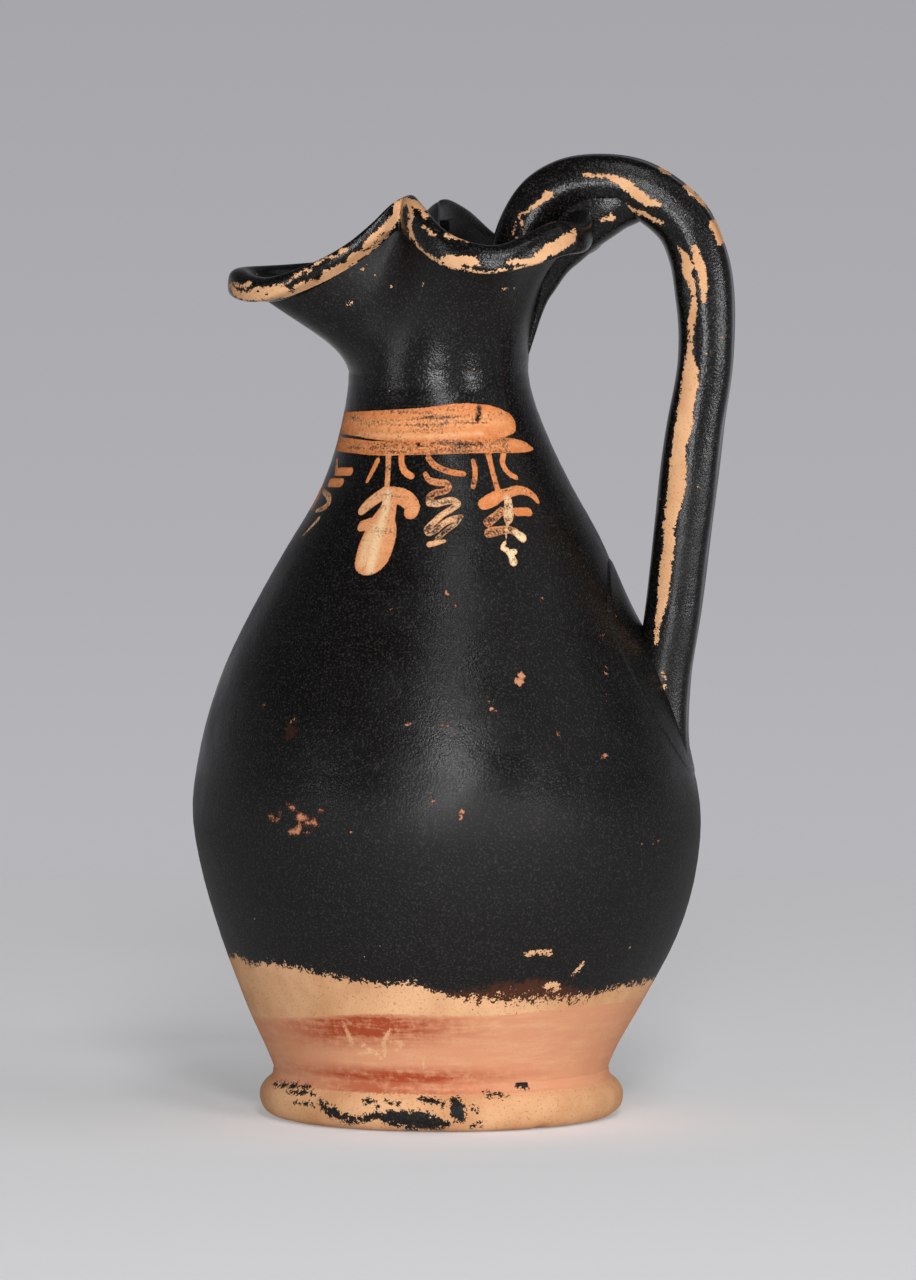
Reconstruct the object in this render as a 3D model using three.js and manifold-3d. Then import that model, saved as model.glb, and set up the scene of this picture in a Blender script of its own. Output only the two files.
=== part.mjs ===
// A small wheel-thrown wine jug with a pinched, three-lobed mouth, a high strap handle and a ring foot.
// Sizes are in millimetres and +Z is up. The handle is on +X and the pouring lobe of the mouth on -X.
// The -Y side is called the near side and +Y the far side. The jug is modelled round its own axis,
// and the finished group is moved so that the middle of its whole underside box is the origin.
// The nodes are the pieces that a potter made and luted together with wet clay before the firing.

import * as THREE from "three";
import { mergeVertices } from "three/addons/utils/BufferGeometryUtils.js";
import Module from "manifold-3d";

const wasm = await Module();
wasm.setup();

// Driving dimensions of the whole jug
const BELLY_RADIUS = 43.4;
const FOOT_RADIUS = 31.1;
const FOOT_HEIGHT = 7.0;
const NECK_RADIUS = 15.3;
const NECK_JOINT_Z = 112.0; // where the neck was set on the shoulder
const NECK_WAIST_Z = 127.5; // the narrowest ring of the neck, where the mouth starts to flare
const WALL = 3.0;
const FLOOR = 4.5;
const LIP_HALF_WIDTH = 2.25;
const LUTING_GAP = 0.3; // the layer of slip between two pieces that were pressed together
const AXIS_X = -4.1; // the jug's own axis, seen from the middle of the box round jug and handle

// How finely the solids are divided
const AROUND = 56;
const WALL_STEPS = 20; // up the outside of the body
const INSIDE_STEPS = 12; // up its inside
const NECK_STEPS = 4;
const FLARE_STEPS = 10; // from the neck's waist to the lip
const BEAD_SIDES = 10;
const STRAP_STEPS = 46;
const WEB_STEPS = 20;
const WEB_SIDES = 14;
const SMEAR_SIDES = 32;

// Outer profile from the foot's joint to the neck's waist, as pairs of height and radius
const PROFILE = [
  [FOOT_HEIGHT, 28.2],
  [9.0, 28.9],
  [19.5, 34.0],
  [31.7, 39.4],
  [42.0, 42.3],
  [52.5, BELLY_RADIUS],
  [62.6, 41.8],
  [75.0, 37.8],
  [87.4, 32.1],
  [97.6, 27.1],
  [107.9, 21.3],
  [116.1, 17.9],
  [NECK_WAIST_Z, NECK_RADIUS],
  [130.0, NECK_RADIUS],
];

// How far the middle of each ring stands off the foot's axis, towards the handle: the jug leans a little
const LEAN = [
  [0, 0.1],
  [10, 0.0],
  [34, 1.5],
  [57, 0.8],
  [84, -0.1],
  [104, 1.1],
  [NECK_WAIST_Z, -0.4],
  [170, -0.4],
];

// The three lobes of the mouth seen from above, as ellipses along the middle of the lip
const LOBES = [
  { centre: [-16.0, 0.6], half: [18.3, 13.6] },
  { centre: [9.9, -8.2], half: [14.6, 14.4] },
  { centre: [12.0, 8.6], half: [13.0, 13.6] },
];
const PINCH_ROUNDING = { near: 1.3, far: 3.0 }; // of the folds between the lobes, at the lip
const VALLEY_ROUNDING = 5.0; // of the soft valleys that run down from the folds to the neck

// Height of the middle of the lip by direction in degrees: 0 the handle, 90 the far side, 180 the spout
const LIP_HEIGHTS = [
  [0, 153.2],
  [12, 152.8],
  [27, 150.3],
  [50, 147.2],
  [70, 146.9],
  [82, 151.4],
  [90, 153.0],
  [100, 152.8],
  [130, 144.8],
  [155, 143.0],
  [180, 142.8],
  [200, 142.1],
  [212, 144.7],
  [225, 148.8],
  [234, 152.3],
  [240, 154.5],
  [250, 154.8],
  [257, 154.3],
  [266, 152.6],
  [275, 150.0],
  [285, 148.5],
  [297, 148.0],
  [308, 149.5],
  [320, 151.2],
  [335, 151.3],
  [348, 152.8],
];

// Half of the lip's height by direction: the bead is deepest in the pinches and beside the handle
const LIP_HALF_HEIGHTS = [
  [0, 2.5],
  [60, 2.4],
  [90, 3.2],
  [125, 2.4],
  [190, 2.2],
  [235, 2.1],
  [252, 3.6],
  [268, 3.7],
  [285, 2.7],
  [300, 2.4],
  [315, 3.0],
  [335, 2.6],
];

// The middle of the handle's strap in the XZ plane, from its root inside the mouth to its root on the belly
const STRAP_PATH = [
  [12.9, 144.0],
  [13.7, 149.3],
  [15.1, 153.4],
  [17.4, 156.9],
  [21.0, 159.2],
  [27.6, 160.2],
  [33.1, 159.3],
  [37.3, 157.0],
  [41.5, 153.1],
  [43.9, 147.6],
  [45.2, 139.6],
  [45.3, 130.0],
  [43.6, 118.2],
  [41.7, 101.8],
  [39.7, 85.3],
  [38.0, 75.0],
  [37.5, 66.0],
  [37.9, 60.0],
  [37.6, 54.0],
];

// The strap's section: distance outwards from the path, and distance to each side
const STRAP_SECTION = [
  [4.5, 0],
  [4.9, 4.1],
  [2.4, 5.5],
  [-0.4, 6.1],
  [-3.2, 5.1],
  [-4.9, 2.9],
];

// The web of clay that fills the corner between mouth, neck and strap: along, height of its
// underside and half of its width
const WEB_UNDERSIDE = [
  [15.0, 131.2, 0.8],
  [17.1, 137.0, 2.4],
  [19.5, 141.3, 3.5],
  [23.9, 146.3, 4.6],
  [28.2, 149.6, 5.2],
  [31.6, 151.8, 5.0],
  [34.6, 153.5, 3.6],
];
const WEB_TOP = 157.5; // inside the strap
const WEB_ROUNDNESS = 2.4;

// How the wall sweeps from the neck's waist to the lip: shares of the lip's own height above the
// waist and distance beyond it, beside the handle and at the spout, at two stages of the sweep
const SWEEP_LOW = { height: [0.34, 0.34], distance: [0.025, 0.08] };
const SWEEP_HIGH = { height: [0.64, 0.49], distance: [0.125, 0.43] };

const BEAD_WIDENING = 1.7; // the most that the lip's bead is widened where the lip runs askew

// The foot's section: the rounding of its outer edge, and its standing and inner faces
const FOOT_EDGE_RADIUS = 3.5;
const FOOT_STANDING_RADIUS = 24.5;
const FOOT_INNER_FACE = [
  [20.5, FOOT_HEIGHT],
  [21.5, 4.5],
  [23.3, 1.0],
];
const FLOOR_COVE = 7.0; // height over which the inner wall rounds into the floor

// The clay smeared round the strap's root on the belly: middle, half-sizes and thickness
const SMEAR_MIDDLE_Z = 77.0;
const SMEAR_HALF = [14.5, 18.5]; // round the belly and up it
const SMEAR_EDGE = 0.9;
const SMEAR_THICKNESS = 2.4;
const SMEAR_RINGS = [1.0, 0.92, 0.8, 0.66, 0.5, 0.34, 0.16]; // as shares of its half-sizes

// A smooth curve through (x, y) pairs, as a function of x. It repeats after `period` if one is given.
function curveThrough(points, period = 0) {
  const pairs = period ? [...points, [points[0][0] + period, points[0][1]]] : points;
  const last = pairs.length - 1;
  const start = pairs[0][0];
  const width = (i) => pairs[i + 1][0] - pairs[i][0];
  const chord = (i) => (pairs[i + 1][1] - pairs[i][1]) / width(i);
  const between = (i, j) => (chord(i) * width(j) + chord(j) * width(i)) / (width(i) + width(j));
  const slopes = pairs.map((pair, i) => {
    if (i > 0 && i < last) return between(i - 1, i);
    if (period) return between(last - 1, 0);
    return i === 0 ? chord(0) : chord(last - 1);
  });
  return (value) => {
    const x = period ? start + THREE.MathUtils.euclideanModulo(value - start, period) : value;
    let i = 0;
    while (i < last - 1 && x > pairs[i + 1][0]) i += 1;
    const t = THREE.MathUtils.clamp((x - pairs[i][0]) / width(i), 0, 1);
    const t2 = t * t;
    const t3 = t2 * t;
    return (
      (2 * t3 - 3 * t2 + 1) * pairs[i][1] +
      (t3 - 2 * t2 + t) * width(i) * slopes[i] +
      (3 * t2 - 2 * t3) * pairs[i + 1][1] +
      (t3 - t2) * width(i) * slopes[i + 1]
    );
  };
}

const outerRadius = curveThrough(PROFILE);
const leanAt = curveThrough(LEAN);
const lipHeight = curveThrough(LIP_HEIGHTS, 360);
const lipHalfHeight = curveThrough(LIP_HALF_HEIGHTS, 360);

// Radius of the wall's inner face, with the wall's thickness measured square to its outer face
function innerRadius(z) {
  const step = 0.5;
  const slope = (outerRadius(z + step) - outerRadius(z - step)) / (2 * step);
  return outerRadius(z) - WALL * Math.hypot(1, slope);
}

// Values from one number to another in equal steps, both ends included
function steps(from, to, count) {
  return Array.from({ length: count + 1 }, (_, i) => from + ((to - from) * i) / count);
}

// The directions of one turn round the axis, in radians
function directions() {
  return steps(0, 2 * Math.PI, AROUND).slice(0, AROUND);
}

// Distance from the axis to a lobe's far edge, along a direction in radians
function lobeReach(lobe, angle) {
  const [cx, cy] = lobe.centre;
  const [hx, hy] = lobe.half;
  const dx = Math.cos(angle) / hx;
  const dy = Math.sin(angle) / hy;
  const a = dx * dx + dy * dy;
  const b = -(cx / hx) * dx - (cy / hy) * dy;
  const c = (cx / hx) ** 2 + (cy / hy) ** 2 - 1;
  const root = b * b - a * c;
  return root > 0 ? (-b + Math.sqrt(root)) / a : 0;
}

// Distance from the axis to the middle of the lip: the lobes, joined by a rounded fold at each pinch.
// Below the lip, at a lower rise, the folds are softer.
function lipRadius(angle, rise = 1) {
  const { lerp } = THREE.MathUtils;
  const farness = Math.max(0, Math.sin(angle)) ** 2;
  const pinch = lerp(PINCH_ROUNDING.near, PINCH_ROUNDING.far, farness);
  const rounding = lerp(VALLEY_ROUNDING, pinch, rise ** 2);
  const reach = LOBES.map((lobe) => Math.exp(lobeReach(lobe, angle) / rounding));
  return rounding * Math.log(reach.reduce((sum, r) => sum + r, 0));
}

// A point at a distance from the axis, in a direction, at a height
function polar(radius, angle, z) {
  return new THREE.Vector3(radius * Math.cos(angle), radius * Math.sin(angle), z);
}

function lipPoint(angle, rise = 1) {
  return polar(lipRadius(angle, rise), angle, lipHeight(THREE.MathUtils.radToDeg(angle)));
}

// The mouth's outer face in one direction, from the neck's waist (rise 0) to the lip (rise 1).
// The spout leaves the neck in an even sweep, while the lobes beside the handle stand up steeply.
// The sharp fold at each pinch opens into a soft valley below the lip.
function mouthPoint(angle, rise) {
  const { lerp } = THREE.MathUtils;
  const spout = (1 - Math.cos(angle)) / 2;
  const lip = lipPoint(angle, rise);
  const foot = polar(NECK_RADIUS, angle, NECK_WAIST_Z);
  foot.x += leanAt(NECK_WAIST_Z);
  const spread = Math.hypot(lip.x, lip.y) - NECK_RADIUS;
  const climb = lip.z - NECK_WAIST_Z;
  const [low, high] = [SWEEP_LOW, SWEEP_HIGH].map(({ height, distance }) =>
    foot.clone().add(polar(lerp(...distance, spout) * spread, angle, lerp(...height, spout) * climb)),
  );
  return new THREE.CubicBezierCurve3(foot, low, high, lip).getPoint(rise);
}

// A closed mesh from rings of points. The last ring joins the first where `closed` is true,
// and otherwise each end ring is filled by a fan from its middle.
function meshFromRings(rings, closed) {
  const count = rings[0].length;
  const positions = rings.flat().flatMap((p) => [p.x, p.y, p.z]);
  const faces = [];
  const joins = closed ? rings.length : rings.length - 1;
  for (let i = 0; i < joins; i += 1) {
    const low = i * count;
    const high = ((i + 1) % rings.length) * count;
    for (let j = 0; j < count; j += 1) {
      const k = (j + 1) % count;
      faces.push(low + j, low + k, high + k, low + j, high + k, high + j);
    }
  }
  const fan = (ring, outward) => {
    const middle = new THREE.Vector3();
    rings[ring].forEach((p) => middle.addScaledVector(p, 1 / count));
    const centre = positions.length / 3;
    positions.push(middle.x, middle.y, middle.z);
    for (let j = 0; j < count; j += 1) {
      const a = ring * count + j;
      const b = ring * count + ((j + 1) % count);
      faces.push(...(outward ? [centre, a, b] : [centre, b, a]));
    }
  };
  if (!closed) {
    fan(0, false);
    fan(rings.length - 1, true);
  }
  const geometry = new THREE.BufferGeometry();
  geometry.setAttribute("position", new THREE.Float32BufferAttribute(positions, 3));
  geometry.setIndex(faces);
  return geometry;
}

// A three.js geometry as a solid that can be cut
function toSolid(geometry) {
  const bare = geometry.clone();
  bare.deleteAttribute("normal");
  bare.deleteAttribute("uv");
  const merged = mergeVertices(bare, 1e-4);
  return new wasm.Manifold(
    new wasm.Mesh({
      numProp: 3,
      vertProperties: new Float32Array(merged.attributes.position.array),
      triVerts: new Uint32Array(merged.index.array),
    }),
  );
}

// The largest separate body of a solid, as a three.js geometry
function largestBody(solid) {
  const body = solid.decompose().sort((a, b) => b.volume() - a.volume())[0];
  const mesh = body.getMesh();
  const positions = new Float32Array(mesh.numVert * 3);
  for (let i = 0; i < mesh.numVert; i += 1) {
    const start = i * mesh.numProp;
    positions.set(mesh.vertProperties.subarray(start, start + 3), i * 3);
  }
  const geometry = new THREE.BufferGeometry();
  geometry.setAttribute("position", new THREE.BufferAttribute(positions, 3));
  geometry.setIndex(new THREE.BufferAttribute(mesh.triVerts, 1));
  return geometry;
}

// What is left of a piece once the others, each grown by the layer of slip, are cut out of it
function cut(geometry, others) {
  return largestBody(others.reduce((solid, other) => solid.subtract(toSolid(other)), toSolid(geometry)));
}

// A closed outline of (radius, height) points turned about +Z, each ring moved by the jug's lean
function turned(outline) {
  const points = outline.map(([r, z]) => new THREE.Vector2(r, z));
  const geometry = new THREE.LatheGeometry(points, AROUND).rotateX(Math.PI / 2);
  const position = geometry.attributes.position;
  for (let i = 0; i < position.count; i += 1)
    position.setX(i, position.getX(i) + leanAt(position.getZ(i)));
  return geometry;
}

// The foot: a ring with a rounded outer edge, a flat standing face and a sloping inner face
function footGeometry() {
  const edge = steps(-90, 90, 9).map((degrees) => {
    const angle = THREE.MathUtils.degToRad(degrees);
    return [
      FOOT_RADIUS - FOOT_EDGE_RADIUS * (1 - Math.cos(angle)),
      (FOOT_HEIGHT / 2) * (1 + Math.sin(angle)),
    ];
  });
  const start = [FOOT_STANDING_RADIUS, 0];
  return turned([start, ...edge, ...FOOT_INNER_FACE, start]);
}

// The thrown body: floor, belly and shoulder, hollow and open at the neck's joint
function bodyGeometry(grow = 0) {
  const floorTop = FOOT_HEIGHT + FLOOR;
  const coveTop = floorTop + FLOOR_COVE;
  const outside = steps(FOOT_HEIGHT, NECK_JOINT_Z, WALL_STEPS).map((z) => [outerRadius(z) + grow, z]);
  const inside = steps(NECK_JOINT_Z, coveTop, INSIDE_STEPS).map((z) => [innerRadius(z), z]);
  const corner = [30, 60, 90].map((degrees) => {
    const angle = THREE.MathUtils.degToRad(degrees);
    return [
      innerRadius(coveTop) - FLOOR_COVE * (1 - Math.cos(angle)),
      coveTop - FLOOR_COVE * Math.sin(angle),
    ];
  });
  return turned([[0, FOOT_HEIGHT], ...outside, ...inside, ...corner, [0, floorTop]]);
}

// Rings of the neck's and mouth's outer face, from the neck's joint to the middle of the lip
function mouthRings() {
  const neck = steps(NECK_JOINT_Z, NECK_WAIST_Z, NECK_STEPS).slice(0, NECK_STEPS).map((z) =>
    directions().map((angle) => {
      const point = polar(outerRadius(z), angle, z);
      point.x += leanAt(z);
      return point;
    }),
  );
  const flare = steps(0, 1, FLARE_STEPS).map((rise) =>
    directions().map((angle) => mouthPoint(angle, rise)),
  );
  return [...neck, ...flare];
}

// The unit vector that points out of the jug at one point of its rings
function outwardAt(rings, i, j) {
  const count = rings[i].length;
  const up = rings[Math.min(i + 1, rings.length - 1)][j].clone().sub(rings[Math.max(i - 1, 0)][j]);
  const along = rings[i][(j + 1) % count].clone().sub(rings[i][(j + count - 1) % count]);
  return along.cross(up).normalize();
}

// The neck and its pinched mouth: one wall that ends in the middle of the lip
function mouthGeometry(grow = 0) {
  const rings = mouthRings();
  const face = (depth) =>
    rings.map((ring, i) =>
      ring.map((point, j) => {
        const moved = point.clone().addScaledVector(outwardAt(rings, i, j), depth);
        if (i === 0) moved.z = NECK_JOINT_Z;
        return moved;
      }),
    );
  return meshFromRings([...face(grow), ...face(-WALL - grow).reverse()], true);
}

// The rolled lip: a bead along the top of the mouth. Each of its sections stands in the plane
// of the axis, and is widened where the lip runs askew to that plane.
function lipGeometry(grow = 0) {
  const turn = directions();
  const sections = steps(0, 2 * Math.PI, BEAD_SIDES).slice(0, BEAD_SIDES);
  const rings = turn.map((angle) => {
    const step = 0.02;
    const along = lipPoint(angle + step).sub(lipPoint(angle - step));
    const flat = Math.hypot(along.x, along.y);
    const across = Math.abs(along.y * Math.cos(angle) - along.x * Math.sin(angle));
    const widen = Math.min(flat / across, BEAD_WIDENING);
    const halfHeight = lipHalfHeight(THREE.MathUtils.radToDeg(angle));
    const middle = lipPoint(angle);
    return sections.map((around) =>
      middle
        .clone()
        .add(
          polar(
            (LIP_HALF_WIDTH + grow) * widen * Math.cos(around),
            angle,
            (halfHeight + grow) * Math.sin(around),
          ),
        ),
    );
  });
  return meshFromRings(rings.map((ring) => [...ring].reverse()), true);
}

// The handle: the strap's section carried along its path
function strapGeometry(grow = 0) {
  const path = new THREE.CatmullRomCurve3(
    STRAP_PATH.map(([x, z]) => new THREE.Vector3(x, 0, z)),
    false,
    "centripetal",
  );
  const far = STRAP_SECTION.slice(1).map(([out, side]) => [out, -side]).reverse();
  const section = [...STRAP_SECTION, ...far].reverse();
  const rings = steps(0, 1, STRAP_STEPS).map((t) => {
    const point = path.getPointAt(t);
    const tangent = path.getTangentAt(t);
    const outward = new THREE.Vector3(-tangent.z, 0, tangent.x);
    return section.map(([out, side]) => {
      const size = Math.hypot(out, side);
      const scale = (size + grow) / size;
      const moved = point.clone().addScaledVector(outward, out * scale);
      moved.y = side * scale;
      return moved;
    });
  });
  return meshFromRings(rings, false);
}

// The web of clay under the arch: slices from the neck to the strap, each a rounded keel
function webGeometry() {
  const from = WEB_UNDERSIDE[0][0];
  const to = WEB_UNDERSIDE[WEB_UNDERSIDE.length - 1][0];
  const underside = curveThrough(WEB_UNDERSIDE.map(([x, z]) => [x, z]));
  const halfWidth = curveThrough(WEB_UNDERSIDE.map(([x, , half]) => [x, half]));
  const rings = steps(from, to, WEB_STEPS).map((x) =>
    steps(-90, 90, WEB_SIDES).map((degrees) => {
      const across = Math.sin(THREE.MathUtils.degToRad(degrees));
      const rise = 1 - (1 - Math.abs(across) ** WEB_ROUNDNESS) ** (1 / WEB_ROUNDNESS);
      return new THREE.Vector3(x, halfWidth(x) * across, THREE.MathUtils.lerp(underside(x), WEB_TOP, rise));
    }),
  );
  return meshFromRings(rings, false);
}

// The clay smeared over the strap's root: rings that shrink over the belly, from one that is
// buried in the wall to a thick middle
function smearGeometry() {
  const [around, up] = SMEAR_HALF;
  const ring = (share, thickness) =>
    steps(0, 2 * Math.PI, SMEAR_SIDES).slice(0, SMEAR_SIDES).map((angle) => {
      const z = SMEAR_MIDDLE_Z + up * share * Math.sin(angle);
      const radius = outerRadius(z) + thickness;
      const point = polar(radius, (around * share * Math.cos(angle)) / radius, z);
      point.x += leanAt(z);
      return point;
    });
  const buried = ring(1.0, -WALL / 2);
  const visible = SMEAR_RINGS.map((share) =>
    ring(share, SMEAR_EDGE + (SMEAR_THICKNESS - SMEAR_EDGE) * (1 - share)),
  );
  return meshFromRings([buried, ...visible], false);
}

const SLIP = new THREE.Color("#1b1a18"); // black gloss
const CLAY = new THREE.Color("#c98f66"); // bare fired clay

function piece(name, geometry, color, roughness) {
  const plain = geometry.index ? geometry.toNonIndexed() : geometry;
  plain.computeVertexNormals();
  const mesh = new THREE.Mesh(plain, new THREE.MeshStandardMaterial({ color, roughness, metalness: 0 }));
  mesh.name = name;
  return mesh;
}

function makeJug() {
  const jug = new THREE.Group();
  const grownBody = bodyGeometry(LUTING_GAP);
  const grownMouth = mouthGeometry(LUTING_GAP);
  const grownLip = lipGeometry(LUTING_GAP);
  const grownStrap = strapGeometry(LUTING_GAP);
  jug.add(
    piece("belly", bodyGeometry(), SLIP, 0.28),
    piece("foot_ring", footGeometry(), CLAY, 0.75),
    piece("neck_and_mouth", cut(mouthGeometry(), [grownLip]), SLIP, 0.28),
    piece("rolled_lip", cut(lipGeometry(), [grownStrap]), SLIP, 0.28),
    piece("handle", cut(strapGeometry(), [grownMouth, grownBody]), SLIP, 0.28),
    piece("handle_top_clay", cut(webGeometry(), [grownStrap, grownMouth, grownLip]), SLIP, 0.28),
    piece("handle_base_clay", cut(smearGeometry(), [grownBody, grownStrap]), SLIP, 0.28),
  );
  jug.position.x = AXIS_X;
  return jug;
}

export default makeJug();
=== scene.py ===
# %% [markdown]
# # A small black-glazed wine jug
# The object is a wheel-thrown jug of orange clay, dipped in a black slip and fired. Its mouth is pinched
# into three lobes, and a ridged strap handle rises from inside the mouth and comes down on the belly.
# This lesson loads the jug's construction model, which gives the sizes, and builds a fine surface for
# each of its pieces in the same place: thrown walls, rolled lip, pulled strap, smeared clay and foot.

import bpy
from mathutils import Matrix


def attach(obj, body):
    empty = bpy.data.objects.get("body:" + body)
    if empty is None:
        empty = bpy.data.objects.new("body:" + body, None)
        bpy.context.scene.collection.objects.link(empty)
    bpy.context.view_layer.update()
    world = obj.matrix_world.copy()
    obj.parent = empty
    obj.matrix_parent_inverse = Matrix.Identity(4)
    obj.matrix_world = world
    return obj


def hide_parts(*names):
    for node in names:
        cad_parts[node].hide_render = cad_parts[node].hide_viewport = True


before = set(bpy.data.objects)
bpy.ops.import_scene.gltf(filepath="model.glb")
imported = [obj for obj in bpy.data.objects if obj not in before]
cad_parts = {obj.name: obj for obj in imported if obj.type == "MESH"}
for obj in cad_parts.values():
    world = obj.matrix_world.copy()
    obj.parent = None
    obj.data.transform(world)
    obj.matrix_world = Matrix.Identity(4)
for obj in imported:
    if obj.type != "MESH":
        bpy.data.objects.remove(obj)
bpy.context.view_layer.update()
print("construction nodes:", sorted(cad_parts))

# %% [markdown]
# Blender measures in metres, while a potter thinks in millimetres. All shapes here are worked out in
# millimetres round the jug's own axis, and one function turns them into Blender's metres at the end.
# The jug's axis is not the middle of the whole object, because the handle stands out on one side.

# %% Units and axes
import math

import bpy
import numpy as np

MM = 0.001
AXIS_X = -4.1  # the jug's axis from the middle of the box round jug and handle, mm


def to_metres(points):
    """Points in mm round the jug's axis, as metres in the model's frame."""
    moved = np.array(points, float)
    moved[..., 0] += AXIS_X
    return moved * MM


print("the jug's axis stands at x, m:", AXIS_X * MM)

# %% [markdown]
# ## The camera
# The picture is a museum photograph: a long lens, far away, almost level with the jug. A long lens
# keeps the foot and the mouth at nearly the same scale. Only a trace of the foot's ellipse shows,
# and that trace fixes how high the camera stands.

# %% Camera
CAMERA_TURN, CAMERA_RISE = math.radians(5.0), math.radians(4.6)
CAMERA_DISTANCE = 2500.0
AIM_RIGHT, AIM_UP = 2.9, 81.5  # the middle of the picture, right of the axis and above the floor
LENS = 411.0

RIGHT = np.array([math.cos(CAMERA_TURN), math.sin(CAMERA_TURN), 0.0])
BACK = np.array([
    math.sin(CAMERA_TURN) * math.cos(CAMERA_RISE),
    -math.cos(CAMERA_TURN) * math.cos(CAMERA_RISE),
    math.sin(CAMERA_RISE),
])
AIM = RIGHT * AIM_RIGHT + np.array([0.0, 0.0, AIM_UP])
EYE = AIM + BACK * CAMERA_DISTANCE

camera = bpy.data.objects.new("camera", bpy.data.cameras.new("camera"))
bpy.context.scene.collection.objects.link(camera)
bpy.context.scene.camera = camera
camera.data.lens = LENS
camera.data.clip_end = 20.0
camera.location = to_metres(EYE)
camera.rotation_euler = (math.pi / 2 - CAMERA_RISE, 0.0, CAMERA_TURN)
print("camera height above the floor, mm:", round(EYE[2]))

# %% [markdown]
# ## Colours and nodes
# Colours are written as the hex values that a screen shows. Blender mixes light in linear values, so
# one function converts them. A second small function adds any shader node, sets it and links it, which
# keeps each material readable as a short list of steps.
#
# A node's inputs are named, or numbered from 0 in the order that the node has them. On a Map Range node
# 1 and 2 are the range that comes in, and 3 and 4 the range that goes out. On a Mix node 0 is the share
# of the second input: the two inputs are 2 and 3 for numbers, 6 and 7 for colours.

# %% Helpers for colours and nodes
def linear(hex_text):
    """An sRGB hex colour as linear RGBA."""
    parts = [int(hex_text[i:i + 2], 16) / 255 for i in (1, 3, 5)]
    return [p / 12.92 if p <= 0.04045 else ((p + 0.055) / 1.055) ** 2.4 for p in parts] + [1.0]


def node(tree, kind, inputs=(), out=0, **settings):
    """Adds a node, sets and links it, and returns one of its outputs."""
    made = tree.nodes.new(kind)
    for name, value in settings.items():
        setattr(made, name, value)
    for socket, value in dict(inputs).items():
        if isinstance(value, bpy.types.NodeSocket):
            tree.links.new(value, made.inputs[socket])
        else:
            made.inputs[socket].default_value = value
    return made.outputs[out] if len(made.outputs) else made


def new_material(name):
    made = bpy.data.materials.new(name)
    made.use_nodes = True
    made.node_tree.nodes.clear()
    return made, made.node_tree


print("middle grey in linear values:", [round(value, 3) for value in linear("#808080")])

# %% [markdown]
# ## Stage and light
# The jug stands on a pale table that fades into an even grey wall. The table is one disc whose outer
# part turns transparent, so no horizon line shows, and the wall is the world's colour. The camera and
# reflections see these pale tones, while the light that falls on the jug comes from soft lamps. The
# table is a painted board, so it is matt and even, and nothing on it draws the eye from the jug.

# %% Table top
FADE_START, FADE_END = 0.16, 0.60  # metres from the jug's foot
TABLE_RADIUS = 0.8
TABLE_PAINT = "#dcdcde"
TABLE_GLOW = 0.37  # paleness for the eye alone, so that no extra light falls on the jug


def seen_directly(tree):
    """1 for rays of the camera and of reflections, 0 for those that carry light."""
    rays = tree.nodes.new("ShaderNodeLightPath").outputs
    straight, mirrored, through = rays["Is Camera Ray"], rays["Is Glossy Ray"], rays["Is Transmission Ray"]
    either = node(tree, "ShaderNodeMath", {0: straight, 1: mirrored}, operation="MAXIMUM")
    return node(tree, "ShaderNodeMath", {0: either, 1: through}, operation="MAXIMUM")


def table_material():
    made, tree = new_material("painted_table_top")
    place = node(tree, "ShaderNodeTexCoord", out=3)
    distance = node(tree, "ShaderNodeVectorMath", {0: place}, out=1, operation="LENGTH")
    fade = node(tree, "ShaderNodeMapRange", {0: distance, 1: FADE_START, 2: FADE_END},
                interpolation_type="SMOOTHSTEP")
    from_below = node(tree, "ShaderNodeNewGeometry", out=6)
    clear = node(tree, "ShaderNodeMath", {0: fade, 1: from_below}, operation="MAXIMUM")
    paint = node(tree, "ShaderNodeBsdfDiffuse", {"Color": linear(TABLE_PAINT)})
    glow = node(tree, "ShaderNodeMath", {0: seen_directly(tree), 1: TABLE_GLOW}, operation="MULTIPLY")
    pale = node(tree, "ShaderNodeEmission", {"Color": linear(TABLE_PAINT), "Strength": glow})
    top = node(tree, "ShaderNodeAddShader", {0: paint, 1: pale})
    hole = node(tree, "ShaderNodeBsdfTransparent")
    mixed = node(tree, "ShaderNodeMixShader", {0: clear, 1: top, 2: hole})
    node(tree, "ShaderNodeOutputMaterial", {"Surface": mixed})
    return made


bpy.ops.mesh.primitive_circle_add(vertices=96, radius=TABLE_RADIUS, fill_type="NGON")
table_top = bpy.context.object
table_top.name = "table_top"
table_top.data.materials.append(table_material())
print("table radius, m:", TABLE_RADIUS)

# %% [markdown]
# The wall is the world itself: a grey that darkens upwards into a dark ceiling, which the satin slip
# mirrors. It could be a curved backdrop, but then the lamps would light it unevenly. Only the camera and
# reflections see it. The jug gets a weak even white instead, which stands for the light of the room.

# %% Wall behind and ceiling
WALL_FOOT = "#c2c2c6"
WALL_TONES = [  # height of a direction where a tone starts and where it is reached, and the tone
    (-0.125, -0.075, "#b0afb4"), (-0.075, -0.025, "#a3a3a8"), (0.0, 0.4, "#47474a"),
]
SOFT_FILL = 0.09  # the even light of the room, where 1 is white


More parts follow.
